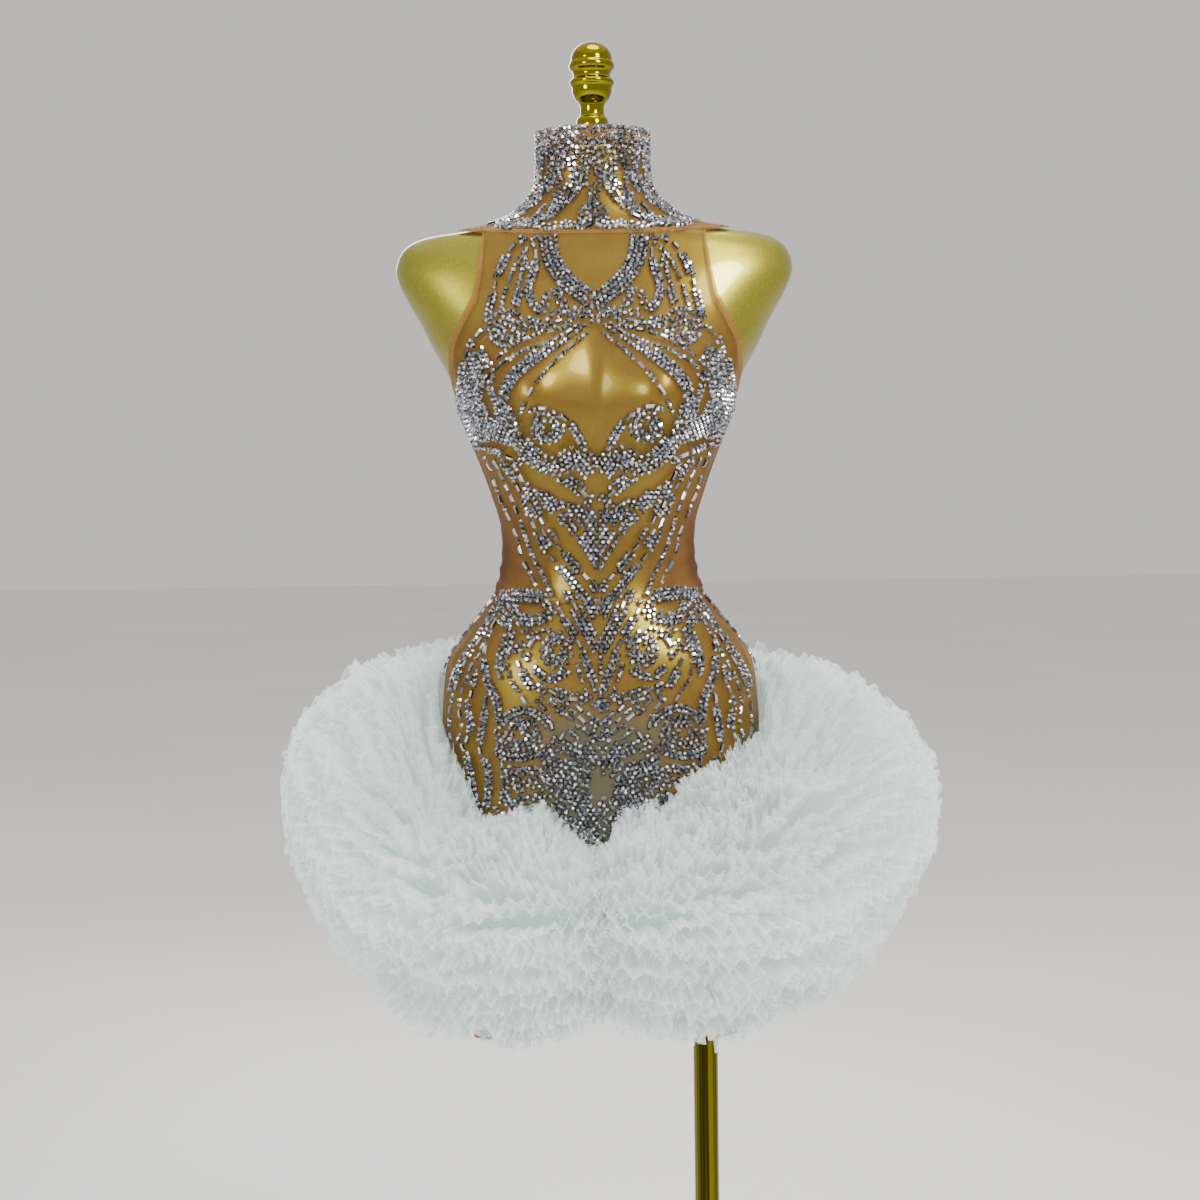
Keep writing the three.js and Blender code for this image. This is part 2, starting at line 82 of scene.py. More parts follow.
# the figure that form and dress share, level sections from the hem up to the neck
sections = [
    # height, half width, depth in front, depth behind, squareness (2 is an ellipse)
    (600, 140, 90, 96, 2.3),
    (690, 146, 94, 102, 2.3),
    (780, 151, 97, 110, 2.3),
    (860, 154, 98, 117, 2.3),
    (925, 156, 97, 121, 2.25),
    (975, 154, 95, 117, 2.2),
    (1008, 149, 91, 107, 2.2),
    (1032, 134, 86, 96, 2.15),
    (1056, 115, 79, 85, 2.1),
    (1072, 98, 74, 77, 2.1),
    (1090, 86, 71, 72, 2.1),
    (1112, 82, 70, 70, 2.1),
    (1142, 86, 73, 70, 2.1),
    (1176, 100, 78, 74, 2.15),
    (1212, 115, 84, 80, 2.2),
    (1248, 130, 90, 84, 2.25),
    (1272, 136, 92, 86, 2.3),
    (1295, 147, 91, 87, 2.3),
    (1320, 161, 87, 87, 2.3),
    (1345, 173, 81, 86, 2.3),
    (1370, 187, 73, 83, 2.3),
    (1392, 196, 66, 79, 2.25),
    (1410, 193, 60, 75, 2.2),
    (1421, 184, 57, 72, 2.15),
    (1428, 168, 55, 70, 2.1),
    (1432, 140, 53, 68, 2.1),
    (1436, 112, 51, 66, 2.05),
    (1443, 88, 49, 64, 2.0),
    (1452, 75, 47, 62, 2.0),
    (1460, 65, 46, 61, 2.0),
    (1472, 56, 45, 60, 2.0),
    (1485, 52.5, 44.5, 59.5, 2.0),
    (1512, 51.5, 44, 59, 2.0),
    (1540, 51.5, 44, 59, 2.0),
]
figure = dict(zip(("z", "half", "front", "back", "power"), np.array(sections, float).T))
bust = {  # place, height and spread of each cup
    "x": 66,
    "z": 1264,
    "rise": 36,
    "width": 48,
    "above": 62,
    "below": 40,
    "fade": 1.6,  # how soon it rises, coming round from the side
    "span": 0.55,  # share of the hollow between the cups that the stretched cloth keeps
}
waistEase = {"z": 1100, "side": 11, "above": 62, "below": 34}  # where the cloth stands off the waist
heights = {
    "waistSeam": 1070,
    "collarTop": 1531,
    "hem": 640,
    "hemRise": 48,  # at the front centre
    "hemSpread": 26,  # degrees to either side
    "formBottom": 690,
    "formRound": 12,  # of its lower edge
    "neckTop": 1512,
}
armhole = {  # height, and half the width that is left between the two
    "z": [1262, 1280, 1298, 1322, 1349, 1366, 1391, 1425, 1445],
    "x": [133.5, 137.5, 140.5, 139, 126, 117, 112, 107, 106],
}
collarSeam = {"front": 23.6, "shoulder": 26.8, "back": 24.4}  # rows of the figure, counted from its first
clothOut = 3.2  # from the form's surface to the middle of the mesh


def curveBetween(a, b, c, d, t):
    # smooth from b to c, led by the values before and after them
    return b + 0.5 * t * (c - a + t * (2 * a - 5 * b + 4 * c - d + t * (3 * (b - c) + d - a)))


def tableCurve(values, at):
    table = np.asarray(values, float)
    last = len(table) - 1
    at = np.clip(np.asarray(at, float), 0, last)
    i = np.minimum(at.astype(int), last - 1)
    a, b, c, d = table[np.maximum(i - 1, 0)], table[i], table[i + 1], table[np.minimum(i + 2, last)]
    return curveBetween(a, b, c, d, at - i)


def rowValue(column, row):
    return tableCurve(figure[column], row)


fineRows = np.linspace(0, len(figure["z"]) - 1, 6000)
fineHeights = rowValue("z", fineRows)


def rowAt(z):
    return np.interp(z, fineHeights, fineRows)


def signedPower(value, power):
    return np.sign(value) * np.abs(value) ** power


def figurePoint(angle, row, span=1.0):
    angle, row = np.broadcast_arrays(np.asarray(angle, float), np.asarray(row, float))
    z = rowValue("z", row)
    rounding = 2 / rowValue("power", row)
    inFront = np.cos(angle) >= 0
    depth = np.where(inFront, rowValue("front", row), rowValue("back", row))
    x = rowValue("half", row) * signedPower(np.sin(angle), rounding)
    across = signedPower(np.cos(angle), rounding)
    inside = bust["x"] - np.abs(x)
    off = np.where(inside > 0, inside * span, inside) / bust["width"]
    along = (z - bust["z"]) / np.where(z > bust["z"], bust["above"], bust["below"])
    rise = bust["rise"] * np.exp(-(off**2) - along**2) * np.minimum(1, across * bust["fade"])
    y = -depth * across - np.where(inFront, rise, 0)
    return np.stack([x, y, z], -1)


def figureNormal(angle, row, span=1.0):
    turn, step = 1.5 * degree, 0.06  # short enough for the figure's bends
    around = figurePoint(angle + turn, row, span) - figurePoint(angle - turn, row, span)
    up = figurePoint(angle, row + step, span) - figurePoint(angle, row - step, span)
    normal = np.cross(around, up)
    return normal / np.linalg.norm(normal, axis=-1, keepdims=True)


def dressPoint(angle, row, out):
    angle, row = np.broadcast_arrays(np.asarray(angle, float), np.asarray(row, float))
    point = figurePoint(angle, row, bust["span"])
    z = point[..., 2]
    off = (z - waistEase["z"]) / np.where(z > waistEase["z"], waistEase["above"], waistEase["below"])
    point[..., 0] += waistEase["side"] * np.exp(-(off**2)) * signedPower(np.sin(angle), 1.5)
    out = np.asarray(out, float)
    return point + figureNormal(angle, row, bust["span"]) * (out[..., None] if out.ndim else out)


# small helpers
def linear(hexColour):
    value = hexColour.lstrip("#")
    channels = [int(value[i : i + 2], 16) / 255 for i in (0, 2, 4)]
    return tuple(c / 12.92 if c <= 0.04045 else ((c + 0.055) / 1.055) ** 2.4 for c in channels) + (1.0,)


def addNode(tree, kind, inputs=None, **settings):
    node = tree.nodes.new(kind)
    for name, value in settings.items():
        setattr(node, name, value)
    for name, value in (inputs or {}).items():
        if isinstance(value, bpy.types.NodeSocket):
            tree.links.new(value, node.inputs[name])
        else:
            node.inputs[name].default_value = value
    return node


def startMaterial(name, values):
    material = bpy.data.materials.new(name)
    material.use_nodes = True
    tree = material.node_tree
    tree.nodes.clear()
    output = tree.nodes.new("ShaderNodeOutputMaterial")
    shader = tree.nodes.new("ShaderNodeBsdfPrincipled")
    tree.links.new(shader.outputs["BSDF"], output.inputs["Surface"])
    for socket, value in values.items():
        shader.inputs[socket].default_value = value
    return material, tree, shader


def perMetre(millimetres):
    # a pattern's scale from its real size
    return 1 / (millimetres * mm)


def colourSteps(tree, factor, steps):
    ramp = addNode(tree, "ShaderNodeValToRGB", {"Fac": factor})
    elements = ramp.color_ramp.elements
    while len(elements) < len(steps):
        elements.new(0.5)
    for element, (position, colour) in zip(elements, steps):
        element.position = position
        element.color = linear(colour)
    return ramp.outputs["Color"]


def addPiece(name, points, faces, material, smooth=True, replaces=(), paintedReflections=None, uv=None):
    mesh = bpy.data.meshes.new(name)
    mesh.from_pydata((np.asarray(points, float) * mm).tolist(), [], faces)
    mesh.validate()
    mesh.materials.append(material)
    # a painted reflection grey for each face, used by the crystals
    if paintedReflections is not None:
        layer = mesh.attributes.new("paintedReflection", "FLOAT", "FACE")
        layer.data.foreach_set("value", np.asarray(paintedReflections, np.float32))
    if uv is not None:
        corners = np.zeros(len(mesh.loops), np.int32)
        mesh.loops.foreach_get("vertex_index", corners)
        mesh.uv_layers.new(name="cloth").data.foreach_set("uv", np.asarray(uv, np.float32)[corners].ravel())
    mesh.polygons.foreach_set("use_smooth", np.full(len(mesh.polygons), smooth))
    mesh.update()
    piece = bpy.data.objects.new(name, mesh)
    bpy.context.scene.collection.objects.link(piece)
    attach(piece, "root")
    if replaces:
        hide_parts(*replaces)
    return piece


def gridFaces(rows, columns, first=0, closed=False):
    perRow = columns if closed else columns + 1
    faces = []
    for j in range(rows):
        for i in range(columns):
            a = first + j * perRow + i
            b = first + j * perRow + (i + 1) % perRow
            faces.append((a, b, b + perRow, a + perRow))
    return faces


def turnedPiece(name, profile, centre, material, replaces, sides=64):
    # profile: (radius, height) from the axis at the bottom to the axis at the top
    points, faces = [(centre[0], centre[1], profile[0][1])], []
    rings = profile[1:-1]
    turn = np.arange(sides) / sides * 2 * math.pi
    for radius, height in rings:
        points += [(centre[0] + radius * math.cos(a), centre[1] + radius * math.sin(a), height) for a in turn]
    points.append((centre[0], centre[1], profile[-1][1]))
    top = len(points) - 1
    lastRing = 1 + (len(rings) - 1) * sides
    for i in range(sides):
        j = (i + 1) % sides
        faces.append((0, 1 + j, 1 + i))
        faces.append((top, lastRing + i, lastRing + j))
    faces += gridFaces(len(rings) - 1, sides, first=1, closed=True)
    return addPiece(name, points, faces, material, replaces=[replaces])


def smoothLine(points, perSpan):
    p = np.asarray(points, float)
    p = np.vstack([2 * p[0] - p[1], p, 2 * p[-1] - p[-2]])
    t = np.linspace(0, 1, perSpan, endpoint=False)[:, None]
    spans = []
    for a, b, c, d in zip(p, p[1:], p[2:], p[3:]):
        spans.append(curveBetween(a, b, c, d, t))
    return np.vstack(spans + [p[-2:-1]])


print("stage 2: materials")
# nude stretch mesh: fine knitted net, part see-through, so the gold shows through it
meshLook = {
    "light": "#946f3e",
    "dark": "#825e30",
    "paintedShade": "#47280c",  # painted shade: where the net stands off the form at the waist, and where it is seen aslant
    "tint": "#e4ddd0",  # what the net does to the light that it lets through
    "cover": (0.22, 0.34),  # share of the light that the net stops, thin places and thick ones
    "edgeCover": 0.45,  # added where the net is seen aslant; the same share weighs its painted shade there
    "slackCover": 0.70,  # added where it stands off the form, at the waist, where it also takes painted shade
    "shaded": "#56523e",  # low in front, where it hangs in the shade of the ruffle
    "shadedCover": 0.58,
    "netPitch": 1.1,  # mm, drawn coarser than the real 0.6 mm
    "cloudSize": 26.316,  # mm, how far the dye goes from light to dark
    "folded": {"light": "#a57b47", "dark": "#8f6836", "cover": (0.36, 0.48)},  # doubled at the edges
}
waveTurns = 20  # radians that Blender's wave texture turns in a metre, at scale 1


def nudeMeshMaterial(name, cover, light, dark):
    # dull nylon, which hardly shines
    material, tree, shader = startMaterial(name, {"Roughness": 0.55, "Specular IOR Level": 0.1})
    place = addNode(tree, "ShaderNodeTexCoord").outputs["Object"]
    waves = []
    for direction in ("X", "Z"):  # two sets of fine ribs make the net
        wave = addNode(
            tree,
            "ShaderNodeTexWave",
            {
                "Vector": place,
                "Scale": 2 * math.pi / waveTurns * perMetre(meshLook["netPitch"]),
                "Distortion": 0.6,
                "Detail": 1.0,
            },
            wave_type="BANDS",
            bands_direction=direction,
        )
        waves.append(wave.outputs["Fac"])
    net = addNode(tree, "ShaderNodeMath", {0: waves[0], 1: waves[1]}, operation="MAXIMUM").outputs[0]
    noise = {"Vector": place, "Scale": perMetre(meshLook["cloudSize"]), "Detail": 3.0}
    cloud = addNode(tree, "ShaderNodeTexNoise", noise).outputs["Fac"]
    facing = addNode(tree, "ShaderNodeLayerWeight", {"Blend": 0.32}).outputs["Facing"]
    slack, shade = [
        addNode(tree, "ShaderNodeAttribute", attribute_name=marked, attribute_type="GEOMETRY").outputs["Fac"]
        for marked in ("slack", "shade")
    ]
    edge = {0: facing, 1: meshLook["edgeCover"]}
    seen = addNode(tree, "ShaderNodeMath", edge, operation="MULTIPLY").outputs[0]
    bridged = {0: slack, 1: meshLook["slackCover"], 2: seen}
    aslantCoverAndShade = addNode(tree, "ShaderNodeMath", bridged, operation="MULTIPLY_ADD").outputs[0]
    colour = colourSteps(tree, cloud, [(0.3, dark), (0.7, light)])
    # painted shade: darker brown where the net stands off the form and where it is seen aslant, and grey low
    # in front
    for share, towards in ((aslantCoverAndShade, "paintedShade"), (shade, "shaded")):
        blend = {0: share, 6: colour, 7: linear(meshLook[towards])}
        colour = addNode(tree, "ShaderNodeMix", blend, data_type="RGBA").outputs[2]
    tree.links.new(colour, shader.inputs["Base Color"])
    thick = {"Value": net, "From Min": 0.2, "From Max": 1.0, "To Min": cover[0], "To Max": cover[1]}
    face = addNode(tree, "ShaderNodeMapRange", thick).outputs[0]
    more = addNode(tree, "ShaderNodeMath", {0: aslantCoverAndShade, 1: face}, operation="ADD").outputs[0]
    greyed = {0: shade, 1: meshLook["shadedCover"], 2: more}
    more = addNode(tree, "ShaderNodeMath", greyed, operation="MULTIPLY_ADD", use_clamp=True).outputs[0]
    through = addNode(tree, "ShaderNodeBsdfTransparent", {"Color": linear(meshLook["tint"])})
    whole = addNode(tree, "ShaderNodeMixShader", {0: more, 1: through.outputs[0], 2: shader.outputs[0]})
    tree.links.new(whole.outputs[0], tree.nodes["Material Output"].inputs["Surface"])
    bump = addNode(tree, "ShaderNodeBump", {"Height": net, "Strength": 0.15, "Distance": 0.3 * mm})
    tree.links.new(bump.outputs["Normal"], shader.inputs["Normal"])
    return material


# clear foiled crystal, machine cut: each facet has a painted grey, a painted reflection of another part of
# the room in its foil, from dark to white glints
crystalLook = {
    "reflectionGreys": [
        (0.0, "#15171c"),
        (0.2, "#474a52"),
        (0.45, "#6f727a"),
        (0.75, "#9a9da5"),
        (0.9, "#dcdee3"),
        (1.0, "#ffffff"),
    ],
    "surface": {
        "Metallic": 0.82,
        "Roughness": 0.14,
        "Coat Weight": 0.6,  # the glass in front of the foil
        "Coat Roughness": 0.03,
    },
}


def crystalMaterial():
    material, tree, shader = startMaterial("foiledCrystalMachineCut", crystalLook["surface"])
    # each facet's painted reflection grey
    paintedReflection = addNode(tree, "ShaderNodeAttribute", attribute_name="paintedReflection", attribute_type="GEOMETRY")
    tree.links.new(colourSteps(tree, paintedReflection.outputs["Fac"], crystalLook["reflectionGreys"]), shader.inputs["Base Color"])
    return material


# white tulle: thin and matt, it lets light through, streaked along its gathers, thinner towards the cut edge
tulleLook = {
    "light": "#f1fcf9",
    "dark": "#e5f5f0",
    "passing": "#f9fdfc",  # colour of the light that comes through
    "rootCover": 0.68,
    "edgeCover": 0.24,
    "foldCover": 0.26,  # added where a fold is seen aslant, so folds show as pale lines
    "cutCover": 0.13,  # added along the cut edge
    "cutFrom": (0.955, 0.985),  # shares of the strip's width between which the cut edge sets in
    "streaks": 0.09,  # how much the gathers vary the cover
    "streakCount": (320, 3),  # along one half and across the strip
    "through": 0.45,  # share of the light that passes on
    "cloudSize": 18.182,  # mm
    "surface": {
        "Roughness": 0.85,
        "Sheen Weight": 0.3,
        "Sheen Roughness": 0.5,
        "Specular IOR Level": 0.2,
        "Emission Strength": 0.21,  # stands for the light that many layers pass to and fro
    },
}


def tulleMaterial():
    material, tree, shader = startMaterial("whiteTulleSoftGathered", tulleLook["surface"])
    place = addNode(tree, "ShaderNodeTexCoord")
    noise = {"Vector": place.outputs["Object"], "Scale": perMetre(tulleLook["cloudSize"]), "Detail": 4.0}
    cloud = addNode(tree, "ShaderNodeTexNoise", noise).outputs["Fac"]
    colour = colourSteps(tree, cloud, [(0.25, tulleLook["dark"]), (0.7, tulleLook["light"])])
    tree.links.new(colour, shader.inputs["Base Color"])
    tree.links.new(colour, shader.inputs["Emission Color"])
    outward = addNode(tree, "ShaderNodeSeparateXYZ", {"Vector": place.outputs["UV"]}).outputs["Y"]
    gathers = {"Vector": place.outputs["UV"], "Scale": (*tulleLook["streakCount"], 1)}
    stretch = addNode(tree, "ShaderNodeMapping", gathers).outputs["Vector"]
    noise = {"Vector": stretch, "Scale": 1.0, "Detail": 2.0}
    streak = addNode(tree, "ShaderNodeTexNoise", noise).outputs["Fac"]
    thin = {"Value": outward, "To Min": tulleLook["rootCover"], "To Max": tulleLook["edgeCover"]}
    cover = addNode(tree, "ShaderNodeMapRange", thin).outputs[0]
    swell = {"Value": streak, "From Min": 0.3, "From Max": 0.7, "To Min": -1.0, "To Max": 1.0}
    vary = addNode(tree, "ShaderNodeMapRange", swell).outputs[0]
    facing = addNode(tree, "ShaderNodeLayerWeight", {"Blend": 0.4}).outputs["Facing"]
    low, high = tulleLook["cutFrom"]
    nearCut = {"Value": outward, "From Min": low, "From Max": high}
    cutEdge = addNode(tree, "ShaderNodeMapRange", nearCut).outputs[0]
    for share, strength in ((vary, "streaks"), (facing, "foldCover"), (cutEdge, "cutCover")):
        added = {0: share, 1: tulleLook[strength], 2: cover}
        last = strength == "cutCover"
        cover = addNode(tree, "ShaderNodeMath", added, operation="MULTIPLY_ADD", use_clamp=last).outputs[0]
    bump = addNode(tree, "ShaderNodeBump", {"Height": streak, "Strength": 0.2, "Distance": 0.8 * mm})
    tree.links.new(bump.outputs["Normal"], shader.inputs["Normal"])
    passing = addNode(tree, "ShaderNodeBsdfTranslucent", {"Color": linear(tulleLook["passing"])})
    clear = addNode(tree, "ShaderNodeBsdfTransparent")
    shared = {0: tulleLook["through"], 1: shader.outputs[0], 2: passing.outputs[0]}
    lit = addNode(tree, "ShaderNodeMixShader", shared)
    whole = addNode(tree, "ShaderNodeMixShader", {0: cover, 1: clear.outputs[0], 2: lit.outputs[0]})
    tree.links.new(whole.outputs[0], tree.nodes["Material Output"].inputs["Surface"])
    return material


# gold lacquer of the form, sprayed and varnished: metallic paint with fine flakes under a gloss coat
lacquerLook = {
    "dark": "#837c1d",
    "light": "#a29b2c",
    "flake": 1.1111,  # mm, drawn coarser than the real 0.1 mm
    "cloudSize": 71.43,  # mm, between duller and glossier places
    "roughness": (0.28, 0.36),
    "surface": {"Metallic": 0.85, "Coat Weight": 0.65, "Coat Roughness": 0.05},
}


def lacquerMaterial():
    material, tree, shader = startMaterial("goldLacquerSprayedAndVarnished", lacquerLook["surface"])
    place = addNode(tree, "ShaderNodeTexCoord").outputs["Object"]
    patterns = []
    for size, detail in ((lacquerLook["flake"], 1.0), (lacquerLook["cloudSize"], 3.0)):
        noise = {"Vector": place, "Scale": perMetre(size), "Detail": detail}
        patterns.append(addNode(tree, "ShaderNodeTexNoise", noise).outputs["Fac"])
    flake, cloud = patterns
    colour = colourSteps(tree, flake, [(0.3, lacquerLook["dark"]), (0.7, lacquerLook["light"])])
    tree.links.new(colour, shader.inputs["Base Color"])
    smooth, dull = lacquerLook["roughness"]
    rough = addNode(tree, "ShaderNodeMapRange", {"Value": cloud, "To Min": smooth, "To Max": dull}).outputs[0]
    tree.links.new(rough, shader.inputs["Roughness"])
    return material


# gold plating: mirror bright on finial, cap and plate; on the pole, painted reflections in dark and light
# streaks along it
platingLook = {
    "polished": {"dark": "#7f770f", "light": "#8b8113", "streak": (111.11, 111.11, 111.11)},  # mm
    # painted reflections of the room, as dark and light streaks along the pole
    "drawn": {"dark": "#262203", "light": "#776d12", "streak": (3.846, 3.846, 2000)},
    "roughness": (0.05, 0.11),
}


def platingMaterial(name, look):
    material, tree, shader = startMaterial(name, {"Metallic": 1.0})
    place = addNode(tree, "ShaderNodeTexCoord").outputs["Object"]
    scale = [perMetre(size) for size in look["streak"]]
    stretch = addNode(tree, "ShaderNodeMapping", {"Vector": place, "Scale": scale}).outputs["Vector"]
    noise = {"Vector": stretch, "Scale": 1.0, "Detail": 4.0}
    cloud = addNode(tree, "ShaderNodeTexNoise", noise).outputs["Fac"]
    colour = colourSteps(tree, cloud, [(0.35, look["dark"]), (0.65, look["light"])])
    tree.links.new(colour, shader.inputs["Base Color"])
    smooth, dull = platingLook["roughness"]
    rough = addNode(tree, "ShaderNodeMapRange", {"Value": cloud, "To Min": smooth, "To Max": dull}).outputs[0]
    tree.links.new(rough, shader.inputs["Roughness"])
    return material


nudeMesh = nudeMeshMaterial("nudeStretchMeshKnitted", meshLook["cover"], meshLook["light"], meshLook["dark"])
foldedMesh = nudeMeshMaterial("nudeStretchMeshDoubledAtEdges", **meshLook["folded"])
crystal = crystalMaterial()
tulle = tulleMaterial()
lacquer = lacquerMaterial()
plating = platingMaterial("goldPlatingPolished", platingLook["polished"])
reflectionStreakedPlating = platingMaterial("goldPlatingReflectionStreaks", platingLook["drawn"])

print("stage 3: form and stand")
# dress form: rings all the way up, closed at the neck and underneath
formLook = {
    "columns": 144,
    "rowsPerStep": 4,  # between two sections of the figure
    "underRings": 6,
    "neckHalf": 52,
    "neckMiddle": 7.5,  # behind the middle of the form
    "neckInsets": (0.5, 2.0, 12.0),  # eased edge of the neck, then its flat top
}
bottomRow = float(rowAt(heights["formBottom"] + heights["formRound"]))
neckRow = float(rowAt(heights["neckTop"]))
neckMiddle = formLook["neckMiddle"]
formAngles = np.arange(formLook["columns"]) / formLook["columns"] * 2 * math.pi
rings = []
for turn in np.linspace(0, 90, formLook["underRings"] + 1)[:-1]:
    edge = figurePoint(formAngles, bottomRow)
    inset = heights["formRound"] * (1 - math.sin(turn * degree))
    edge[:, :2] *= (1 - inset / np.hypot(edge[:, 0], edge[:, 1]))[:, None]
    edge[:, 2] = heights["formBottom"] + heights["formRound"] * (1 - math.cos(turn * degree))
    rings.append(edge)
formRows = np.linspace(bottomRow, neckRow, int((neckRow - bottomRow) * formLook["rowsPerStep"]))
rings += [figurePoint(formAngles, row) for row in formRows]
for inset in formLook["neckInsets"]:
    edge = rings[-1].copy()
    edge[:, 0] *= 1 - inset / formLook["neckHalf"]
    edge[:, 1] = neckMiddle + (edge[:, 1] - neckMiddle) * (1 - inset / formLook["neckHalf"])
    edge[:, 2] = heights["neckTop"]
    rings.append(edge)
points = np.vstack(rings + [[[0, 0, heights["formBottom"]]], [[0, neckMiddle, heights["neckTop"]]]])
faces = gridFaces(len(rings) - 1, formLook["columns"], closed=True)
bottomPoint, topPoint = len(points) - 2, len(points) - 1
lastRing = (len(rings) - 1) * formLook["columns"]
for i in range(formLook["columns"]):
    j = (i + 1) % formLook["columns"]
    faces.append((bottomPoint, j, i))
    faces.append((topPoint, lastRing + i, lastRing + j))
addPiece("goldForm", points, faces, lacquer, replaces=["form"])

# finial, cap, pole and plate
stand = {
    "gap": 0.3,  # between pieces that meet
    "capRadius": 44,
    "capHeight": 13,
    "finialHeight": 94.8,
    "finialLine": [  # radius and height of its turned outline, above the foot's lower edge
        (16, 0), (16, 17), (14.5, 20), (12.2, 23), (12, 31), (13.5, 35), (17, 39), (19.6, 45), (20, 50),
        (22, 53.5), (22, 56), (19.4, 59), (18.4, 62), (19.4, 65.5), (22.3, 69), (22.4, 72.5), (20.6, 76),
        (20.4, 79), (18.8, 84), (15.4, 88.5), (10, 92.4), (4.5, 94.2),
    ],
    "poleX": 102,  # towards the wearer's left
    "poleRadius": 12.5,
    "plateRadius": 200,
    "plateThickness": 8,
    "plateRound": 2,  # radius of its rounded edges
    "plateSides": 160,
}
capBottom = heights["neckTop"] + stand["gap"]
capTop = capBottom + stand["capHeight"]
capEase = [(1.5, 0), (0.4, 0.4), (0, 1.5)]  # in from the rim and away from the face, in mm
capProfile = [(0, capBottom)] + [(stand["capRadius"] - inward, capBottom + away) for inward, away in capEase]
capProfile += [(stand["capRadius"] - inward, capTop - away) for inward, away in capEase[::-1]] + [(0, capTop)]
neckCap = turnedPiece("neckCap", capProfile, (0, neckMiddle), plating, "neck_cap")
finialFoot = capTop + stand["gap"]
finialLine = stand["finialLine"][:1] + [tuple(p) for p in smoothLine(stand["finialLine"][1:], 4)]
finialProfile = [(0, finialFoot)] + [(radius, finialFoot + height) for radius, height in finialLine]
finialProfile.append((0, capTop + stand["finialHeight"]))
turnedPiece("finialTurned", finialProfile, (0, neckMiddle), plating, "finial")
poleFoot, poleHead = stand["plateThickness"] + stand["gap"], heights["formBottom"] - stand["gap"]
poleProfile = [(0, poleFoot)]
poleProfile += [(stand["poleRadius"], height) for height in (poleFoot, (poleFoot + poleHead) / 2, poleHead)]
poleProfile.append((0, poleHead))
pole = turnedPiece("poleTube", poleProfile, (stand["poleX"], 0), reflectionStreakedPlating, "pole")
ease = stand["plateRound"]
rim = stand["plateRadius"] - ease
upperEase = stand["plateThickness"] - ease
quarter = [a * degree for a in (0, 30, 60, 90)]
plateProfile = [(0, 0)] + [(rim + ease * math.sin(a), ease - ease * math.cos(a)) for a in quarter]
plateProfile += [(rim + ease * math.cos(a), upperEase + ease * math.sin(a)) for a in quarter]
plateProfile.append((0, stand["plateThickness"]))
plate = turnedPiece("basePlate", plateProfile, (0, 0), plating, "base_plate", stand["plateSides"])
for hard in (neckCap, pole, plate):
    hard.modifiers.new("edges", "EDGE_SPLIT").split_angle = 40 * degree

print("stage 4: mesh panels")
# cut of the panels: the same seams as the solids
seamClear = 0.2  # mm that a panel keeps from a centre seam or a side seam
seamRows = 0.02  # and from a seam that runs round, in rows of the figure


def seamAngle(row):
    return np.arccos((seamClear / rowValue("front", row)) ** (rowValue("power", row) / 2))


def bodiceEdge(row):
    z = rowValue("z", row)
    line = np.interp(z, armhole["z"], armhole["x"])
    share = np.clip(line / rowValue("half", row), 0, 1)
    edge = np.arcsin(share ** (rowValue("power", row) / 2))
    seam = seamAngle(row)
    return np.where((z < armhole["z"][0]) | (share >= 1), seam, np.minimum(seam, edge))


def collarSeamRow(turned):
    # turned: degrees from the front centre, 0 to 180
    share = np.abs(turned) / 90
    centre = np.where(share <= 1, collarSeam["front"], collarSeam["back"])
    toShoulder = np.where(share <= 1, share, 2 - share)
    return centre + (collarSeam["shoulder"] - centre) * toShoulder**2


def hemRow(angle):
    rise = heights["hemRise"] * np.exp(-((angle / (heights["hemSpread"] * degree)) ** 2))
    return rowAt(heights["hem"] + rise)


waistRow = float(rowAt(heights["waistSeam"]))
# drag wrinkles where the bodice pulls in to the waist
dragWrinkles = {
    # height, tilt (mm per mm towards the side), depth and width
    "rows": [(1077, 0.20, 1.9, 4.0), (1087, 0.38, 1.6, 4.5), (1098, 0.55, 1.2, 5.0), (1112, 0.7, 0.8, 6.0)],
    "from": 16,  # mm from the middle, where they begin
    "fade": 30,  # mm until they have their full depth
    "middle": 60,  # mm from the middle, where the stated heights hold
}


def wrinkleOut(point):
    x, z = np.abs(point[..., 0]), point[..., 2]
    out = np.zeros_like(z)
    fade = np.clip((x - dragWrinkles["from"]) / dragWrinkles["fade"], 0, 1)
    for height, tilt, depth, width in dragWrinkles["rows"]:
        line = height + (x - dragWrinkles["middle"]) * tilt
        out += depth * fade * np.exp(-(((z - line) / width) ** 2)) * (1 + 0.3 * np.sin(x * 0.13 + height))
    return out


def onMesh(angle, row, out):
    point = dressPoint(angle, row, out)
    normal = figureNormal(angle, row, bust["span"])
    return point + normal * wrinkleOut(point)[..., None], normal


def panelGrid(rows, columns, place, out):
    u, v = np.meshgrid(np.linspace(0, 1, columns + 1), np.linspace(0, 1, rows + 1))
    return onMesh(*place(u, v), out)[0].reshape(-1, 3)


def slackAt(points):
    # 1 where the mesh bridges the waist at the sides, 0 where it lies on the form, a half at the free hem;
    # there the net takes painted shade and more cover
    z = points[:, 2]
    off = (z - waistEase["z"]) / np.where(z > waistEase["z"], waistEase["above"] * 1.15, waistEase["below"])
    sideways = np.abs(points[:, 0]) / np.hypot(points[:, 0], points[:, 1] * 1.15)
    bridged = np.exp(-(off**2)) * np.clip((sideways - 0.55) / 0.4, 0, 1) ** 1.3
    free = np.clip((heights["formBottom"] + 16 - z) / 20, 0, 1)  # below the form's rounded edge
    return np.maximum(bridged, 0.5 * free)


belly = {"top": 994, "fade": 44, "half": 74}  # mm; where the shade begins, how softly, and how wide it is


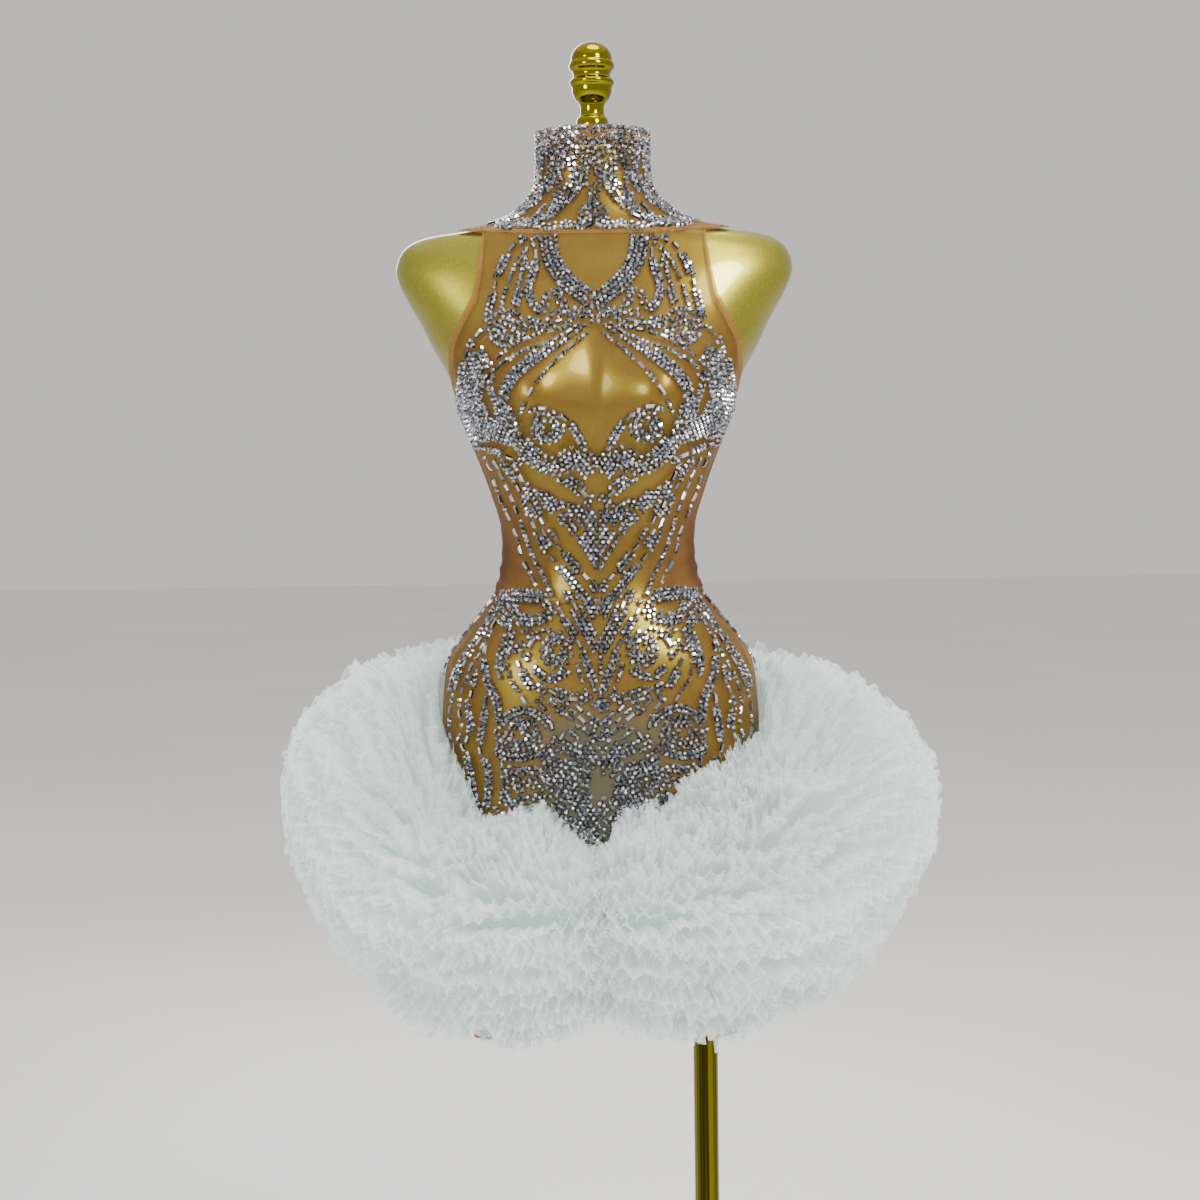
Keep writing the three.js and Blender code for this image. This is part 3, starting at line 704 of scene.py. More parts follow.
def shadeAt(points):
    # 1 low in front, where the form turns away under the belly
    x, y, z = points.T
    return np.clip((belly["top"] - z) / belly["fade"], 0, 1) * np.exp(-((x / belly["half"]) ** 4)) * (y < 0)


def markSlack(piece, points):
    # masks of the net's painted shade: where it stands off the form, and low in front
    for name, values in (("slack", slackAt(points)), ("shade", shadeAt(points))):
        layer = piece.data.attributes.new(name, "FLOAT", "POINT")
        layer.data.foreach_set("value", values.astype(np.float32))
    return piece


def meshPanel(name, rows, columns, place, replaces):
    points = panelGrid(rows, columns, place, clothOut)
    faces = gridFaces(rows, columns)
    return markSlack(addPiece(name, points, faces, nudeMesh, replaces=[replaces]), points)


aboveWaist = waistRow + seamRows
belowWaist = waistRow - seamRows
topShoulder = collarSeam["shoulder"] - seamRows


def frontPlace(u, v):
    edgeRow = aboveWaist + (topShoulder - waistRow - seamRows) * v
    topRow = collarSeamRow((2 * u - 1) * 90) - seamRows
    return (2 * u - 1) * bodiceEdge(edgeRow), aboveWaist + (topRow - waistRow - seamRows) * v


def backPlace(side):
    def place(u, v):
        along = v if side > 0 else 1 - v
        edgeRow = aboveWaist + (topShoulder - waistRow - seamRows) * along
        centre = seamClear / rowValue("half", edgeRow)
        fromBack = bodiceEdge(edgeRow) * (1 - u) + centre * u
        topRow = collarSeamRow(90 + 90 * u) - seamRows
        return side * (math.pi - fromBack), aboveWaist + (topRow - waistRow - seamRows) * along

    return place


def skirtPlace(facing):
    def place(u, v):
        low = rowAt(heights["hem"])
        edgeRow = low + (belowWaist - low) * v
        angle = facing + (2 * u - 1) * seamAngle(edgeRow)
        folded = np.where(angle > math.pi, 2 * math.pi - angle, angle)
        bottom = hemRow(folded)
        return angle, bottom + (belowWaist - bottom) * v

    return place


def collarPlace(u, v):
    topRow = rowAt(heights["collarTop"])
    centre = seamClear / rowValue("back", topRow)
    angle = (2 * u - 1) * (math.pi - centre)
    bottom = collarSeamRow(angle / degree) + seamRows
    return angle, bottom + (topRow - bottom) * v


frontBodice = meshPanel("frontBodiceMesh", 110, 96, frontPlace, "front_bodice")
backBodiceRight = meshPanel("backBodiceMeshRight", 90, 48, backPlace(1), "back_bodice_right")
backBodiceLeft = meshPanel("backBodiceMeshLeft", 90, 48, backPlace(-1), "back_bodice_left")
frontSkirt = meshPanel("frontSkirtMesh", 90, 96, skirtPlace(0), "front_skirt")
backSkirt = meshPanel("backSkirtMesh", 90, 96, skirtPlace(math.pi), "back_skirt")
collar = meshPanel("collarMesh", 44, 144, collarPlace, "collar")

# turned and stitched edges: narrow doubled strips just above the mesh, as wide as the real turnings
turnings = {
    "out": 0.5,  # mm above the mesh
    "across": 3,  # faces over a strip's width
    "strips": [
        # panel, its edge, faces along it, width as a share of the panel
        (frontPlace, "left", 110, 0.022),
        (frontPlace, "right", 110, 0.022),
        (frontPlace, "top", 96, 0.012),
        (frontPlace, "bottom", 96, 0.012),
        (backPlace(1), "left", 90, 0.03),
        (backPlace(-1), "left", 90, 0.03),
        (backPlace(1), "right", 90, 0.03),
        (backPlace(-1), "right", 90, 0.03),
        (collarPlace, "top", 144, 0.05),
        (collarPlace, "bottom", 144, 0.03),
        (skirtPlace(0), "bottom", 96, 0.02),
        (skirtPlace(math.pi), "bottom", 96, 0.018),
        (skirtPlace(0), "top", 96, 0.009),
        (skirtPlace(math.pi), "top", 96, 0.009),
    ],
}


def edgeStrip(place, edge, columns, width):
    level = edge in ("top", "bottom")
    low, high = (0.0, width) if edge in ("bottom", "left") else (1 - width, 1.0)

    def stripPlace(u, v):
        if level:
            return place(u, low + (high - low) * v)
        return place(low + (high - low) * u, v)

    rows, cols = (turnings["across"], columns) if level else (columns, turnings["across"])
    return panelGrid(rows, cols, stripPlace, clothOut + turnings["out"]), gridFaces(rows, cols)


points, faces = [], []
for strip in turnings["strips"]:
    stripPoints, stripFaces = edgeStrip(*strip)
    first = sum(len(p) for p in points)
    points.append(stripPoints)
    faces += [tuple(first + i for i in face) for face in stripFaces]
points = np.vstack(points)
stitchedTurnings = markSlack(addPiece("stitchedTurnings", points, faces, foldedMesh), points)

print("stage 5: ruffle")
# gathered tulle: many soft layers between the lines of the solids' frills, all sewn to the band
ruffle = {
    "right": {
        "around": [1, 18, 40, 62, 82, 104, 136, 179.3],
        "height": [775, 774, 777, 806, 860, 904, 926, 932],
        "band": [78, 88, 90, 90, 103, 102, 90, 84],
        "frill": [88, 103, 102, 95, 92, 90, 90, 88],
    },
    "left": {
        "around": [1, 18, 40, 62, 82, 104, 136, 179.3],
        "height": [775, 774, 778, 812, 868, 916, 934, 932],
        "band": [78, 90, 91, 88, 85, 88, 86, 84],
        "frill": [88, 102, 103, 96, 90, 92, 90, 88],
    },
    "out": 3.8,  # mm from the form's surface to the seam of the band
    "stripWidth": 100,  # mm, as each layer was cut
    "layers": 22,  # above the band, and as many below it
    "depths": (-0.32, 1.2),  # of the innermost and outermost layer, between the solids' frills at 0 and 1
    "pleats": (70, 40),  # in each layer of one half, innermost and outermost
    "columns": 592,  # along one half
    "steps": 5,  # from the seam out to the edge
    "foldDepth": (5.8, 9.5),  # mm, at the edge
    "pace": 0.45,  # share that the pleats' pitch varies
    "flatness": 0.96,  # near 1 the pleats have flat faces and sharp folds
    "twist": 4,  # degrees that the faces of a pleat differ in lean
    "billow": 4,  # degrees and mm that a stretch of 40 columns rises or sinks
    "sway": 9.0,  # mm, how far a pleat's edge leans along the seam
    "ragged": (0.09, 0.045),  # share of the length that the cut edge varies
    "overlap": 12,  # mm, by which the two halves close over the front
    "closes": (0.09, 0.07),  # shares of a half over which they do so, in front and behind
    "lumpsAt": [0, 0.03, 0.08, 0.15, 0.24, 0.32, 0.42, 0.5, 0.6, 0.8, 1.0],  # shares of a half, front first
    "lumpsRight": [0.72, 0.95, 1.12, 1.10, 1.05, 1.12, 1.22, 1.16, 1.04, 0.97, 1.0],  # how full it is there
    "lumpsLeft": [0.62, 0.82, 1.0, 1.09, 1.06, 0.98, 0.78, 0.98, 1.04, 1.0, 1.0],
    "swingRight": [0, 0, 0, 6, 20, 38, 56, 58, 44, 10, 0],  # mm that it leans over the front of the skirt
    "swingLeft": [0, 0, 0, 6, 16, 20, 17, 11, 4, 0, 0],
}
frillLines = {  # innermost, middle and outermost frill of the solids
    "at": [0.2, 0.6, 0.97],
    "lean": [80, 62, 27],
    "curl": [0, 12, 8],
    "above": [0.86, 1.0, 0.84],
    "below": [1.0, 1.06, 0.84],
}


def softNoise(count, every):
    # smooth random curve from -1 to 1, with a new value at every so many columns
    knots = rng.uniform(-1, 1, int(count / every) + 4)
    return tableCurve(knots, np.arange(count) / every + rng.uniform(0, 1))


def unit(vectors):
    return vectors / np.linalg.norm(vectors, axis=-1, keepdims=True)


def ruffleFrame(half, side, share):
    table = ruffle[half]
    last = len(table["around"]) - 1

    def root(at):
        angle = side * tableCurve(table["around"], at * last) * degree
        row = rowAt(tableCurve(table["height"], at * last))
        return angle, row, dressPoint(angle, row, ruffle["out"])

    angle, row, point = root(share)
    along = unit(root(np.minimum(share + 0.01, 1))[2] - root(np.maximum(share - 0.01, 0))[2])
    out = figureNormal(angle, row)
    out[:, 2] = 0
    out = unit(out)
    square = unit(np.cross(out, along) * side)
    across = np.array([0, 0, 0.6]) + square * 0.4  # between upright and square to the seam
    across = unit(across - out * np.sum(across * out, axis=1, keepdims=True))
    band = tableCurve(table["band"], share * last)
    frill = tableCurve(table["frill"], share * last)
    return point, out, across, along, band, frill


def tulleLayer(half, side, face, depth):
    # depth: 0 for the innermost frill line and 1 for the outermost; layers past them stand or lie further
    count = ruffle["columns"] + 1
    share = np.linspace(0.004, 0.996, count)
    point, out, across, along, band, frill = ruffleFrame(half, side, share)
    upper = face > 0
    spread = np.clip(depth, 0, 1)
    beyond = depth - spread  # how far it lies past the solids' frills
    outermost = depth > 1
    at = np.interp(spread, (0, 0.5, 1), frillLines["at"]) + beyond * (0.15 if outermost else 0.7)
    lean = tableCurve(frillLines["lean"], spread * 2) - beyond * (130 if outermost else 110)
    curl = np.interp(spread, (0, 0.5, 1), frillLines["curl"])
    reachShare = tableCurve(frillLines["above" if upper else "below"], spread * 2)
    # pleats: a wave whose pitch wanders, so that no two layers fold alike
    pleats, foldDepth, ragged = [
        a + (b - a) * spread**1.5 for a, b in (ruffle["pleats"], ruffle["foldDepth"], ruffle["ragged"])
    ]
    perPleat = count / pleats
    pace = 1 + ruffle["pace"] * softNoise(count, 3 * perPleat)
    phase = np.cumsum(pace) / perPleat * 2 * math.pi + rng.uniform(0, 6.3)
    fold = np.arcsin(ruffle["flatness"] * np.sin(phase)) / 1.29  # about from -1 to 1
    fold *= 0.8 + 0.35 * softNoise(count, 2.5 * perPleat)
    billow = ruffle["billow"] * softNoise(count, 40)
    sway = 0.35 * np.sin(phase * 2) + 0.9 * softNoise(count, 2 * perPleat)
    faceOf = np.floor(phase / math.pi).astype(int)
    faceOf -= faceOf.min()
    # each face of a pleat ends and leans its own way
    cutTo, turnedBy = rng.uniform(-1, 1, (2, faceOf.max() + 1))
    raggedLength = 1 + ragged * (cutTo[faceOf] + 0.8 * softNoise(count, 4 * perPleat) - 0.4)
    lumps = np.interp(share, ruffle["lumpsAt"], ruffle["lumps" + half.capitalize()])
    swing = np.interp(share, ruffle["lumpsAt"], ruffle["swing" + half.capitalize()]) * (1.15 - spread) * upper
    lumpy = (1.0 if upper else 0.35) * (1.3 - spread)  # lower and outer layers follow the lumps less
    length = frill * reachShare * raggedLength * (1 + (lumps - 1) * lumpy)
    level = unit(along * (1, 1, 0))
    leanHere = lean + billow + rng.uniform(-2, 2)
    inFront, behind = ruffle["closes"]
    closing = np.clip(1 - share / inFront, 0, 1) - np.clip((share - 1 + behind) / behind, 0, 1)
    grid = []
    for reach in np.linspace(0, 1, ruffle["steps"] + 1):
        angle = (leanHere - curl * reach**2 + ruffle["twist"] * turnedBy[faceOf] * reach**2) * degree
        wave = foldDepth * fold * reach**0.85 + billow * reach
        forward = band * at + length * reach * np.cos(angle) - wave * np.sin(angle)
        rise = face * (1.6 + length * reach * np.sin(angle) + wave * np.cos(angle))
        forward = np.maximum(forward, 1.5)  # stays off the skirt
        sideways = ruffle["sway"] * sway * reach**1.3 - ruffle["overlap"] * closing * reach
        spot = point + out * forward[:, None] + across * rise[:, None] + along * sideways[:, None]
        grid.append(spot - level * (swing * reach)[:, None])
    return np.array(grid)


def stripArea(grid):
    a, b, c, d = grid[:-1, :-1], grid[:-1, 1:], grid[1:, 1:], grid[1:, :-1]
    first = np.linalg.norm(np.cross(b - a, c - a), axis=-1).sum() / 2
    return (first + np.linalg.norm(np.cross(c - a, d - a), axis=-1).sum() / 2) * mm * mm


def addTulle(name, grids, solids, across, out):
    # grids: one for each layer, from the seam out to the edge
    rows, columns = len(grids[0]) - 1, len(grids[0][0]) - 1
    faces = []
    for k in range(len(grids)):
        faces += gridFaces(rows, columns, first=k * (rows + 1) * (columns + 1))
    u, v = np.meshgrid(across, out)
    # other streaks in each layer
    uv = np.vstack([np.stack([u.ravel() + 3.7 * k, v.ravel()], -1) for k in range(len(grids))])
    points = np.vstack([grid.reshape(-1, 3) for grid in grids])
    piece = addPiece(name, points, faces, tulle, replaces=solids, uv=uv)
    sheets[name] = (piece, sum(stripArea(grid) for grid in grids))


sheets = {}  # name -> piece and its flat area in square metres
bandRows, bandColumns = 4, 120
for half, side in (("right", 1), ("left", -1)):
    for face, word in ((1, "Upper"), (-1, "Lower")):
        depths = np.linspace(*ruffle["depths"], ruffle["layers"])
        grids = [tulleLayer(half, side, face, depth) for depth in depths]
        solids = [f"ruffle_{half}_{line}_{word.lower()}" for line in ("inner", "middle", "outer")]
        across, out = np.linspace(0, 1, ruffle["columns"] + 1), np.linspace(0, 1, ruffle["steps"] + 1)
        addTulle(f"tulle{half.capitalize()}{word}", grids, solids, across, out)
    # the stiffened band itself, seen only between the frills
    share = np.linspace(0, 1, bandColumns + 1)
    point, out, _, _, band, _ = ruffleFrame(half, side, share)
    reaches = np.linspace(0, 1, bandRows + 1)
    grid = np.array([point + out * (0.6 + (band[:, None] - 0.6) * reach) for reach in reaches])
    addTulle(f"tulleBand{half.capitalize()}", [grid], [f"ruffle_{half}_band"], share, reaches * 0.4)

print("stage 6: rhinestones")
# strands are drawn as seen by the camera: pixels across from the middle and down from the top, one half only
stones = {
    "round": 5.7,  # mm across
    "baguette": (4.0, 10.5),
    "pitch": 5.0,  # along a strand
    "row": 4.7,  # between the strands of a band
    "lift": 4.0,  # from the form's surface to the back of a stone
    "nearest": 4.25,  # between the middles of two rounds of a strand
    "inField": 4.45,
    "inRound": 4.2,  # on collar and hem
    "byBaguette": 3.2,  # for a baguette that is being placed
    "longer": 1.24,  # times that, where one of the two is a baguette
    "height": 1.9,
    "table": {"round": 0.55, "baguette": 0.62},  # flat top as a share of the stone
    "tilt": 0.05,  # glued by hand, so none lies quite flat
    "size": (0.84, 1.04),
}


def volute(u, v, radius, turns, start, hand=1):
    # a strand that winds in towards its centre, with about nine points a turn
    points = []
    for t in np.linspace(0, 1, int(turns * 9) + 2):
        r = radius * (1 - 0.72 * t)  # it stops short, where the stones would touch
        a = (start + hand * 360 * turns * t) * degree
        points.append((u + r * math.cos(a), v - r * math.sin(a)))
    return points


def circle(u, v, radius):
    return [(u + radius * math.cos(a), v - radius * math.sin(a)) for a in np.linspace(0, 2 * math.pi, 13)]


def chain(count, reach=1.0):
    # shares of a strand at which baguettes sit, evenly
    return [(k + 0.5) / count * reach for k in range(count)]


# rows of stones, the points of the line, and baguettes at these shares of it
frontStrands = [
    # round the keyhole
    (4, [(46, 236), (44, 252), (37, 268), (24, 284), (8, 296), (1, 302)], []),
    (2, [(60, 236), (58, 250), (60, 268), (66, 286), (62, 302), (52, 312)], [0.2]),
    (2, volute(38, 304, 14, 1.2, 110, -1), []),
    (2, [(70, 236), (82, 246), (91, 260), (98, 278), (103, 298), (108, 320)], [0.16, 0.6]),
    (1, [(64, 244), (74, 256), (83, 272), (90, 292), (95, 312)], [0.5]),
    (2, [(72, 252), (70, 270), (75, 286), (80, 304)], []),
    (2, [(112, 326), (124, 342), (131, 357), (135, 373), (137, 390)], [0.1, 0.4]),
    # fan over each cup
    (1, circle(88, 327, 18), []),
    (3, [(72, 320), (52, 324), (34, 320), (19, 312), (2, 312)], [0.5]),
    (1, [(26, 325), (40, 329), (56, 333), (72, 339), (88, 348), (105, 362)], [0.22, 0.5, 0.86]),
    (1, [(24, 331), (40, 338), (56, 345), (74, 350), (94, 362), (112, 378)], [0.7, 0.95]),
    (3, [(14, 322), (38, 340), (62, 357), (80, 372), (90, 386), (92, 400), (86, 418)], [0.12]),
    (1, [(9, 333), (25, 346), (38, 358), (51, 371), (62, 385), (70, 398), (76, 412)], [0.2, 0.48, 0.78]),
    (2, [(86, 356), (98, 366), (106, 380), (104, 394)], [0.3]),
    (2, [(116, 348), (110, 362), (116, 378)], []),
    # under the bust
    (5, [(127, 420), (98, 432), (80, 438), (69, 450), (55, 462), (38, 465), (20, 455), (4, 472)], []),
    (2, [(123, 443), (97, 452), (74, 462)], [0.3, 0.8]),
    (3, volute(52, 428, 17, 1.1, 60, 1), []),
    (2, [(36, 414), (26, 424), (17, 438), (9, 452), (1, 462)], [0.06]),
    (1, [(66, 410), (56, 407), (46, 409), (38, 414)], [0.4]),
    (3, [(60, 464), (36, 476), (19, 488), (4, 504)], [0.8]),
    # rays of the waist
    (1, [
        (112, 456), (105, 470), (102, 484), (97, 498), (91, 512), (85, 526), (80, 540), (76, 556),
        (69, 570), (60, 588),
    ], chain(8)),
    (1, [
        (104, 458), (98, 470), (91, 484), (85, 499), (79, 515), (74, 531), (69, 546), (63, 560),
        (55, 576), (46, 598),
    ], chain(5, 0.4)),
    (2, [
        (96, 460), (88, 470), (81, 482), (75, 496), (68, 514), (61, 532), (52, 549), (41, 564),
        (28, 580), (16, 594),
    ], [0.2, 0.45, 0.7]),
    (1, [(84, 464), (76, 478), (70, 494), (63, 512), (56, 530), (47, 545)], chain(3)),
    (2, [
        (72, 484), (62, 506), (51, 529), (41, 544), (30, 558), (20, 569), (10, 580), (1, 592),
    ], [0.3, 0.55, 0.85]),
    (3, [(30, 566), (18, 584), (8, 602), (1, 616)], []),
    (2, [(43, 604), (33, 622), (21, 642), (13, 664), (3, 690)], [0.1, 0.5]),
    (3, [(30, 590), (22, 610), (12, 630), (1, 650)], [0.25]),
    # hips
    (3, [(99, 594), (78, 594), (57, 597), (48, 608), (60, 618), (84, 618)], []),
    (1, [(104, 594), (118, 612), (133, 630), (147, 649), (158, 672)], chain(5)),
    (1, [(101, 606), (114, 628), (128, 650), (141, 674), (149, 700), (151, 724), (147, 746)], chain(6)),
    (2, [(98, 596), (110, 616), (121, 634), (134, 652), (146, 674), (150, 690)], []),
    (1, [(100, 612), (108, 628), (117, 645), (130, 668), (139, 690), (141, 706), (139, 724)], chain(5)),
    (3, [(90, 617), (89, 630), (94, 645), (99, 660), (96, 676)], []),
    (2, [(105, 618), (113, 640), (116, 660), (113, 680), (104, 700), (102, 722)], [0.3]),
    (2, [(126, 668), (128, 689), (133, 706), (130, 726), (136, 744)], [0.3, 0.9]),
    (2, [(114, 690), (116, 710), (119, 730), (121, 748), (114, 764), (113, 784), (116, 806)], [0.08, 0.5]),
    (1, [(93, 667), (90, 680), (82, 690), (74, 703)], [0.12, 0.9]),
    (2, [(84, 656), (78, 672), (68, 689)], [0.2]),
    (2, volute(82, 640, 15, 1.2, 200, -1), []),
    # low waist: scrolls and chevrons
    (3, volute(41, 652, 17, 1.1, 150, -1), []),
    (2, [(76, 660), (70, 644), (60, 633), (46, 632), (34, 636)], [0.3]),
    (2, [(66, 668), (54, 677), (42, 676), (30, 668)], []),
    (3, [(68, 680), (54, 688), (40, 695), (24, 699), (8, 690), (1, 684)], [0.3, 0.6]),
    (2, [(60, 694), (44, 706), (30, 717), (16, 729), (3, 742)], [0.2, 0.5, 0.8]),
    (1, [(64, 700), (52, 714), (46, 738)], [0.2, 0.7]),
    (2, [(40, 690), (24, 705), (12, 717), (1, 726)], [0.5]),
    (3, [(18, 664), (12, 682), (4, 700), (1, 712)], []),
    # scroll over the hem
    (2, [(104, 726), (92, 714), (76, 709), (60, 716), (48, 730)], []),
    (2, [(106, 750), (92, 756), (76, 756), (60, 750)], []),
    (1, [(34, 706), (24, 714), (12, 726), (2, 733)], [0.5]),
    (1, [(44, 744), (34, 730), (22, 738)], [0.3]),
    (2, volute(70, 790, 22, 1.25, 60, 1), []),
    (2, [(56, 812), (40, 826), (22, 840), (4, 850)], []),
    (2, [(142, 734), (135, 755), (131, 771), (128, 790), (124, 808), (119, 830)], [0.12]),
    (1, [(107, 806), (97, 817), (90, 838)], []),
    (1, [(100, 760), (99, 780), (101, 800), (106, 824)], [0.3]),
    # middle
    (2, [(1, 300), (1, 322)], []),
    (1, [(1, 652), (1, 700)], []),
]
frontFields = [
    # outlines of the parts that are filled
    [
        (120, 346), (129, 356), (136, 374), (140, 392), (137, 412), (126, 437), (108, 440), (110, 425),
        (116, 402), (112, 380),
    ],
    [(120, 392), (116, 428), (80, 434), (80, 416), (86, 405), (94, 392), (104, 396)],
    [(70, 322), (80, 310), (98, 312), (106, 328), (98, 344), (82, 345), (72, 336)],
    [(74, 484), (58, 490), (38, 498), (8, 506), (1, 510), (1, 572), (14, 548), (30, 530), (50, 510)],
    [(99, 600), (83, 598), (80, 614), (92, 630), (104, 618)],
    [(106, 718), (94, 712), (78, 712), (64, 720), (58, 734), (68, 748), (88, 752), (106, 747)],
    [(102, 764), (98, 800), (92, 834), (60, 814), (52, 796), (54, 774), (76, 764)],
    [
        (64, 744), (40, 738), (18, 744), (1, 738), (1, 848), (12, 842), (34, 828), (52, 812),
        (56, 796), (52, 778), (60, 760),
    ],
]
bareLeaves = [
    # middle, half length, half width and lean of the parts left bare inside them
    (6, 786, 21, 6, 90),
    (32, 757, 14, 3.5, 12),
    (30, 812, 12, 4, 40),
    (107, 404, 13, 5, 70),
    (40, 512, 17, 3, -28),
    (18, 530, 13, 3, -40),
    (88, 327, 6, 3, 60),
    (84, 732, 10, 3.5, 25),
    (72, 789, 9, 5, 70),
    (90, 790, 13, 3, 80),
]
backStrands = [
    (3, [(60, 236), (64, 270), (66, 310), (63, 350), (54, 392), (40, 428), (20, 456), (2, 476)], [0.3, 0.62]),
    (2, [(84, 240), (92, 280), (100, 320), (106, 360), (104, 400), (92, 436)], [0.4]),
    (2, volute(82, 396, 17, 1.3, 90, 1), []),
    (2, [(46, 236), (34, 262), (18, 284), (2, 300)], []),
    (3, [(124, 424), (98, 436), (76, 450), (52, 468), (28, 478), (4, 498)], []),
    (1, [(112, 452), (100, 478), (90, 504), (80, 532), (72, 558), (60, 588)], chain(6)),
    (1, [(98, 458), (88, 484), (76, 512), (66, 540), (54, 568), (42, 596)], chain(4, 0.4)),
    (2, [(82, 466), (72, 494), (60, 524), (46, 552), (30, 576), (12, 596)], [0.35]),
    (2, [(64, 480), (46, 508), (30, 534), (2, 562)], []),
    (3, [(100, 586), (72, 600), (44, 620), (22, 642), (2, 666)], []),
    (1, [(104, 600), (118, 626), (132, 654), (146, 690)], chain(5)),
    (2, [(100, 612), (110, 640), (118, 668), (120, 700)], []),
    (2, volute(58, 648, 17, 1.3, 150, -1), []),
    (3, [(104, 640), (92, 668), (66, 690), (34, 706), (2, 724)], []),
    (1, [(40, 688), (24, 680), (12, 690), (2, 700)], []),
]


def figureRay(u, v):
    # from the camera's middle line through a point of the picture
    middle = view["picture"] / 2
    forward = np.array([0, math.cos(view["tilt"]), -math.sin(view["tilt"])])
    upward = np.array([0, math.sin(view["tilt"]), math.cos(view["tilt"])])
    across = np.array([1.0, 0, 0])
    return forward + across * u[:, None] / focalPixels + upward * (middle - v[:, None]) / focalPixels


def onDress(drawn, facing):
    # angle and row on the dress, right half, of points drawn as seen from in front (1) or behind (-1)
    drawn = np.asarray(drawn, float)
    ray = figureRay(np.maximum(drawn[:, 0], 0.05), drawn[:, 1])
    reach = np.full(len(drawn), view["distance"] - 90.0)
    lift = np.zeros(len(drawn))
    for _ in range(7):  # the guess at how far off the dress is comes closer each time
        x = ray[:, 0] * reach
        z = view["height"] + ray[:, 2] * reach
        row = rowAt(z - lift)
        low, high = np.zeros(len(drawn)), np.full(len(drawn), 86 * degree)
        for _ in range(16):  # halves the range of angles
            middle = (low + high) / 2
            angle = middle if facing > 0 else math.pi - middle
            point = dressPoint(angle, row, stones["lift"])
            short = point[:, 0] < x
            low, high = np.where(short, middle, low), np.where(short, high, middle)
        lift = point[:, 2] - rowValue("z", row)
        reach = 0.5 * reach + 0.5 * (view["distance"] + facing * point[:, 1]) / ray[:, 1]
    return angle, row


def stoneFrame(angle, row):
    return onMesh(angle, row, stones["lift"])


placed = {"point": [], "normal": [], "along": [], "kind": []}
cells = {}


def tryStone(point, normal, along, kind, clear):
    key = tuple(np.floor(point / 8).astype(int))  # cells wider than any two stones need
    for i in range(-1, 2):
        for j in range(-1, 2):
            for k in range(-1, 2):
                for other, size in cells.get((key[0] + i, key[1] + j, key[2] + k), ()):
                    apart = np.linalg.norm(other - point)
                    if apart < clear * (stones["longer"] if size or kind else 1.0):
                        return
    cells.setdefault(key, []).append((point, kind))
    placed["point"].append(point)
    placed["normal"].append(normal)
    placed["along"].append(along)
    placed["kind"].append(kind)


def measured(line):
    # length so far, and direction, at each point of a line on the dress
    length = np.concatenate([[0], np.cumsum(np.linalg.norm(np.diff(line, axis=0), axis=1))])
    return length, unit(np.gradient(line, axis=0) + 1e-9)


def walkStrand(strand, angle, row):
    rows, _, baguettes = strand
    line, normals = stoneFrame(angle, row)
    length, along = measured(line)
    total = length[-1]
    sideways = unit(np.cross(normals, along))

    def at(where, table):
        return np.stack([np.interp(where, length, table[:, k]) for k in range(3)], -1)

    long = stones["baguette"][1]
    taken = [min(max(share * total, long / 2), total - long / 2) for share in baguettes]
    found = [(at(c, line), at(c, normals), at(c, along), 1, stones["byBaguette"]) for c in taken]
    for k in range(rows):
        shift = (k - (rows - 1) / 2) * stones["row"]
        where = np.arange(0, total + 0.1, stones["pitch"]) + (0.5 * stones["pitch"] if k % 2 else 0)
        if abs(shift) < stones["row"] * 0.6:  # the middle rows make room for the baguettes
            where = where[[all(abs(w - c) > long / 2 + 2.4 for c in taken) for w in where]]
        where = where[where <= total]
        points = at(where, line) + at(where, sideways) * shift
        for p, n, a in zip(points, at(where, normals), at(where, along)):
            found.append((p, n, a, 0, stones["nearest"]))
    return found


def insideOutline(u, v, outline):
    inside = np.zeros(len(u), bool)
    for (au, av), (bu, bv) in zip(outline, outline[1:] + outline[:1]):
        crosses = (av > v) != (bv > v)
        if av != bv:
            inside ^= crosses & (u < (bu - au) * (v - av) / (bv - av) + au)
    return inside


def fieldStones(outlines):
    # about every 2 mm over the front, then thinned out as the stones are placed
    rows = rowAt(np.arange(660, 1440, 2.05))
    angles = np.arange(0.4, 84, 0.75) * degree
    angle, row = [a.ravel() for a in np.meshgrid(angles, rows)]
    point, normal = stoneFrame(angle, row)
    away = point - np.array([0, -view["distance"], view["height"]])
    forward = away[:, 1] * math.cos(view["tilt"]) - away[:, 2] * math.sin(view["tilt"])
    upward = away[:, 1] * math.sin(view["tilt"]) + away[:, 2] * math.cos(view["tilt"])
    u, v = focalPixels * away[:, 0] / forward, view["picture"] / 2 - focalPixels * upward / forward
    bare = np.zeros(len(u), bool)
    for leafU, leafV, long, wide, lean in bareLeaves:
        c, s = math.cos(lean * degree), math.sin(lean * degree)
        onward, sideways = (u - leafU) * c - (v - leafV) * s, (u - leafU) * s + (v - leafV) * c
        bare |= np.abs(sideways) < wide * (1 - (onward / long) ** 2)
    found = []
    for outline in outlines:
        for i in np.nonzero(insideOutline(u, v, outline) & ~bare)[0]:
            found.append((point[i], normal[i], np.array([0, 0, 1.0]), 0, stones["inField"]))
    return found


def addFound(found):
    for item in found:
        tryStone(*item)
    flip = np.array([-1, 1, 1])  # the other half of the dress
    for point, normal, along, kind, clear in found:
        tryStone(point * flip, normal * flip, along * flip, kind, clear)


walked = []
for facing, strands in ((1, frontStrands), (-1, backStrands)):
    lines = [smoothLine(strand[1], 8) for strand in strands]
    ends = np.cumsum([len(line) for line in lines])[:-1]
    angle, row = onDress(np.vstack(lines), facing)
    for strand, a, r in zip(strands, np.split(angle, ends), np.split(row, ends)):
        walked.append(walkStrand(strand, a, r))
for kindFirst in (1, 0):  # baguettes take their places first
    for found in walked:
        addFound([item for item in found if item[3] == kindFirst])
addFound(fieldStones(frontFields))

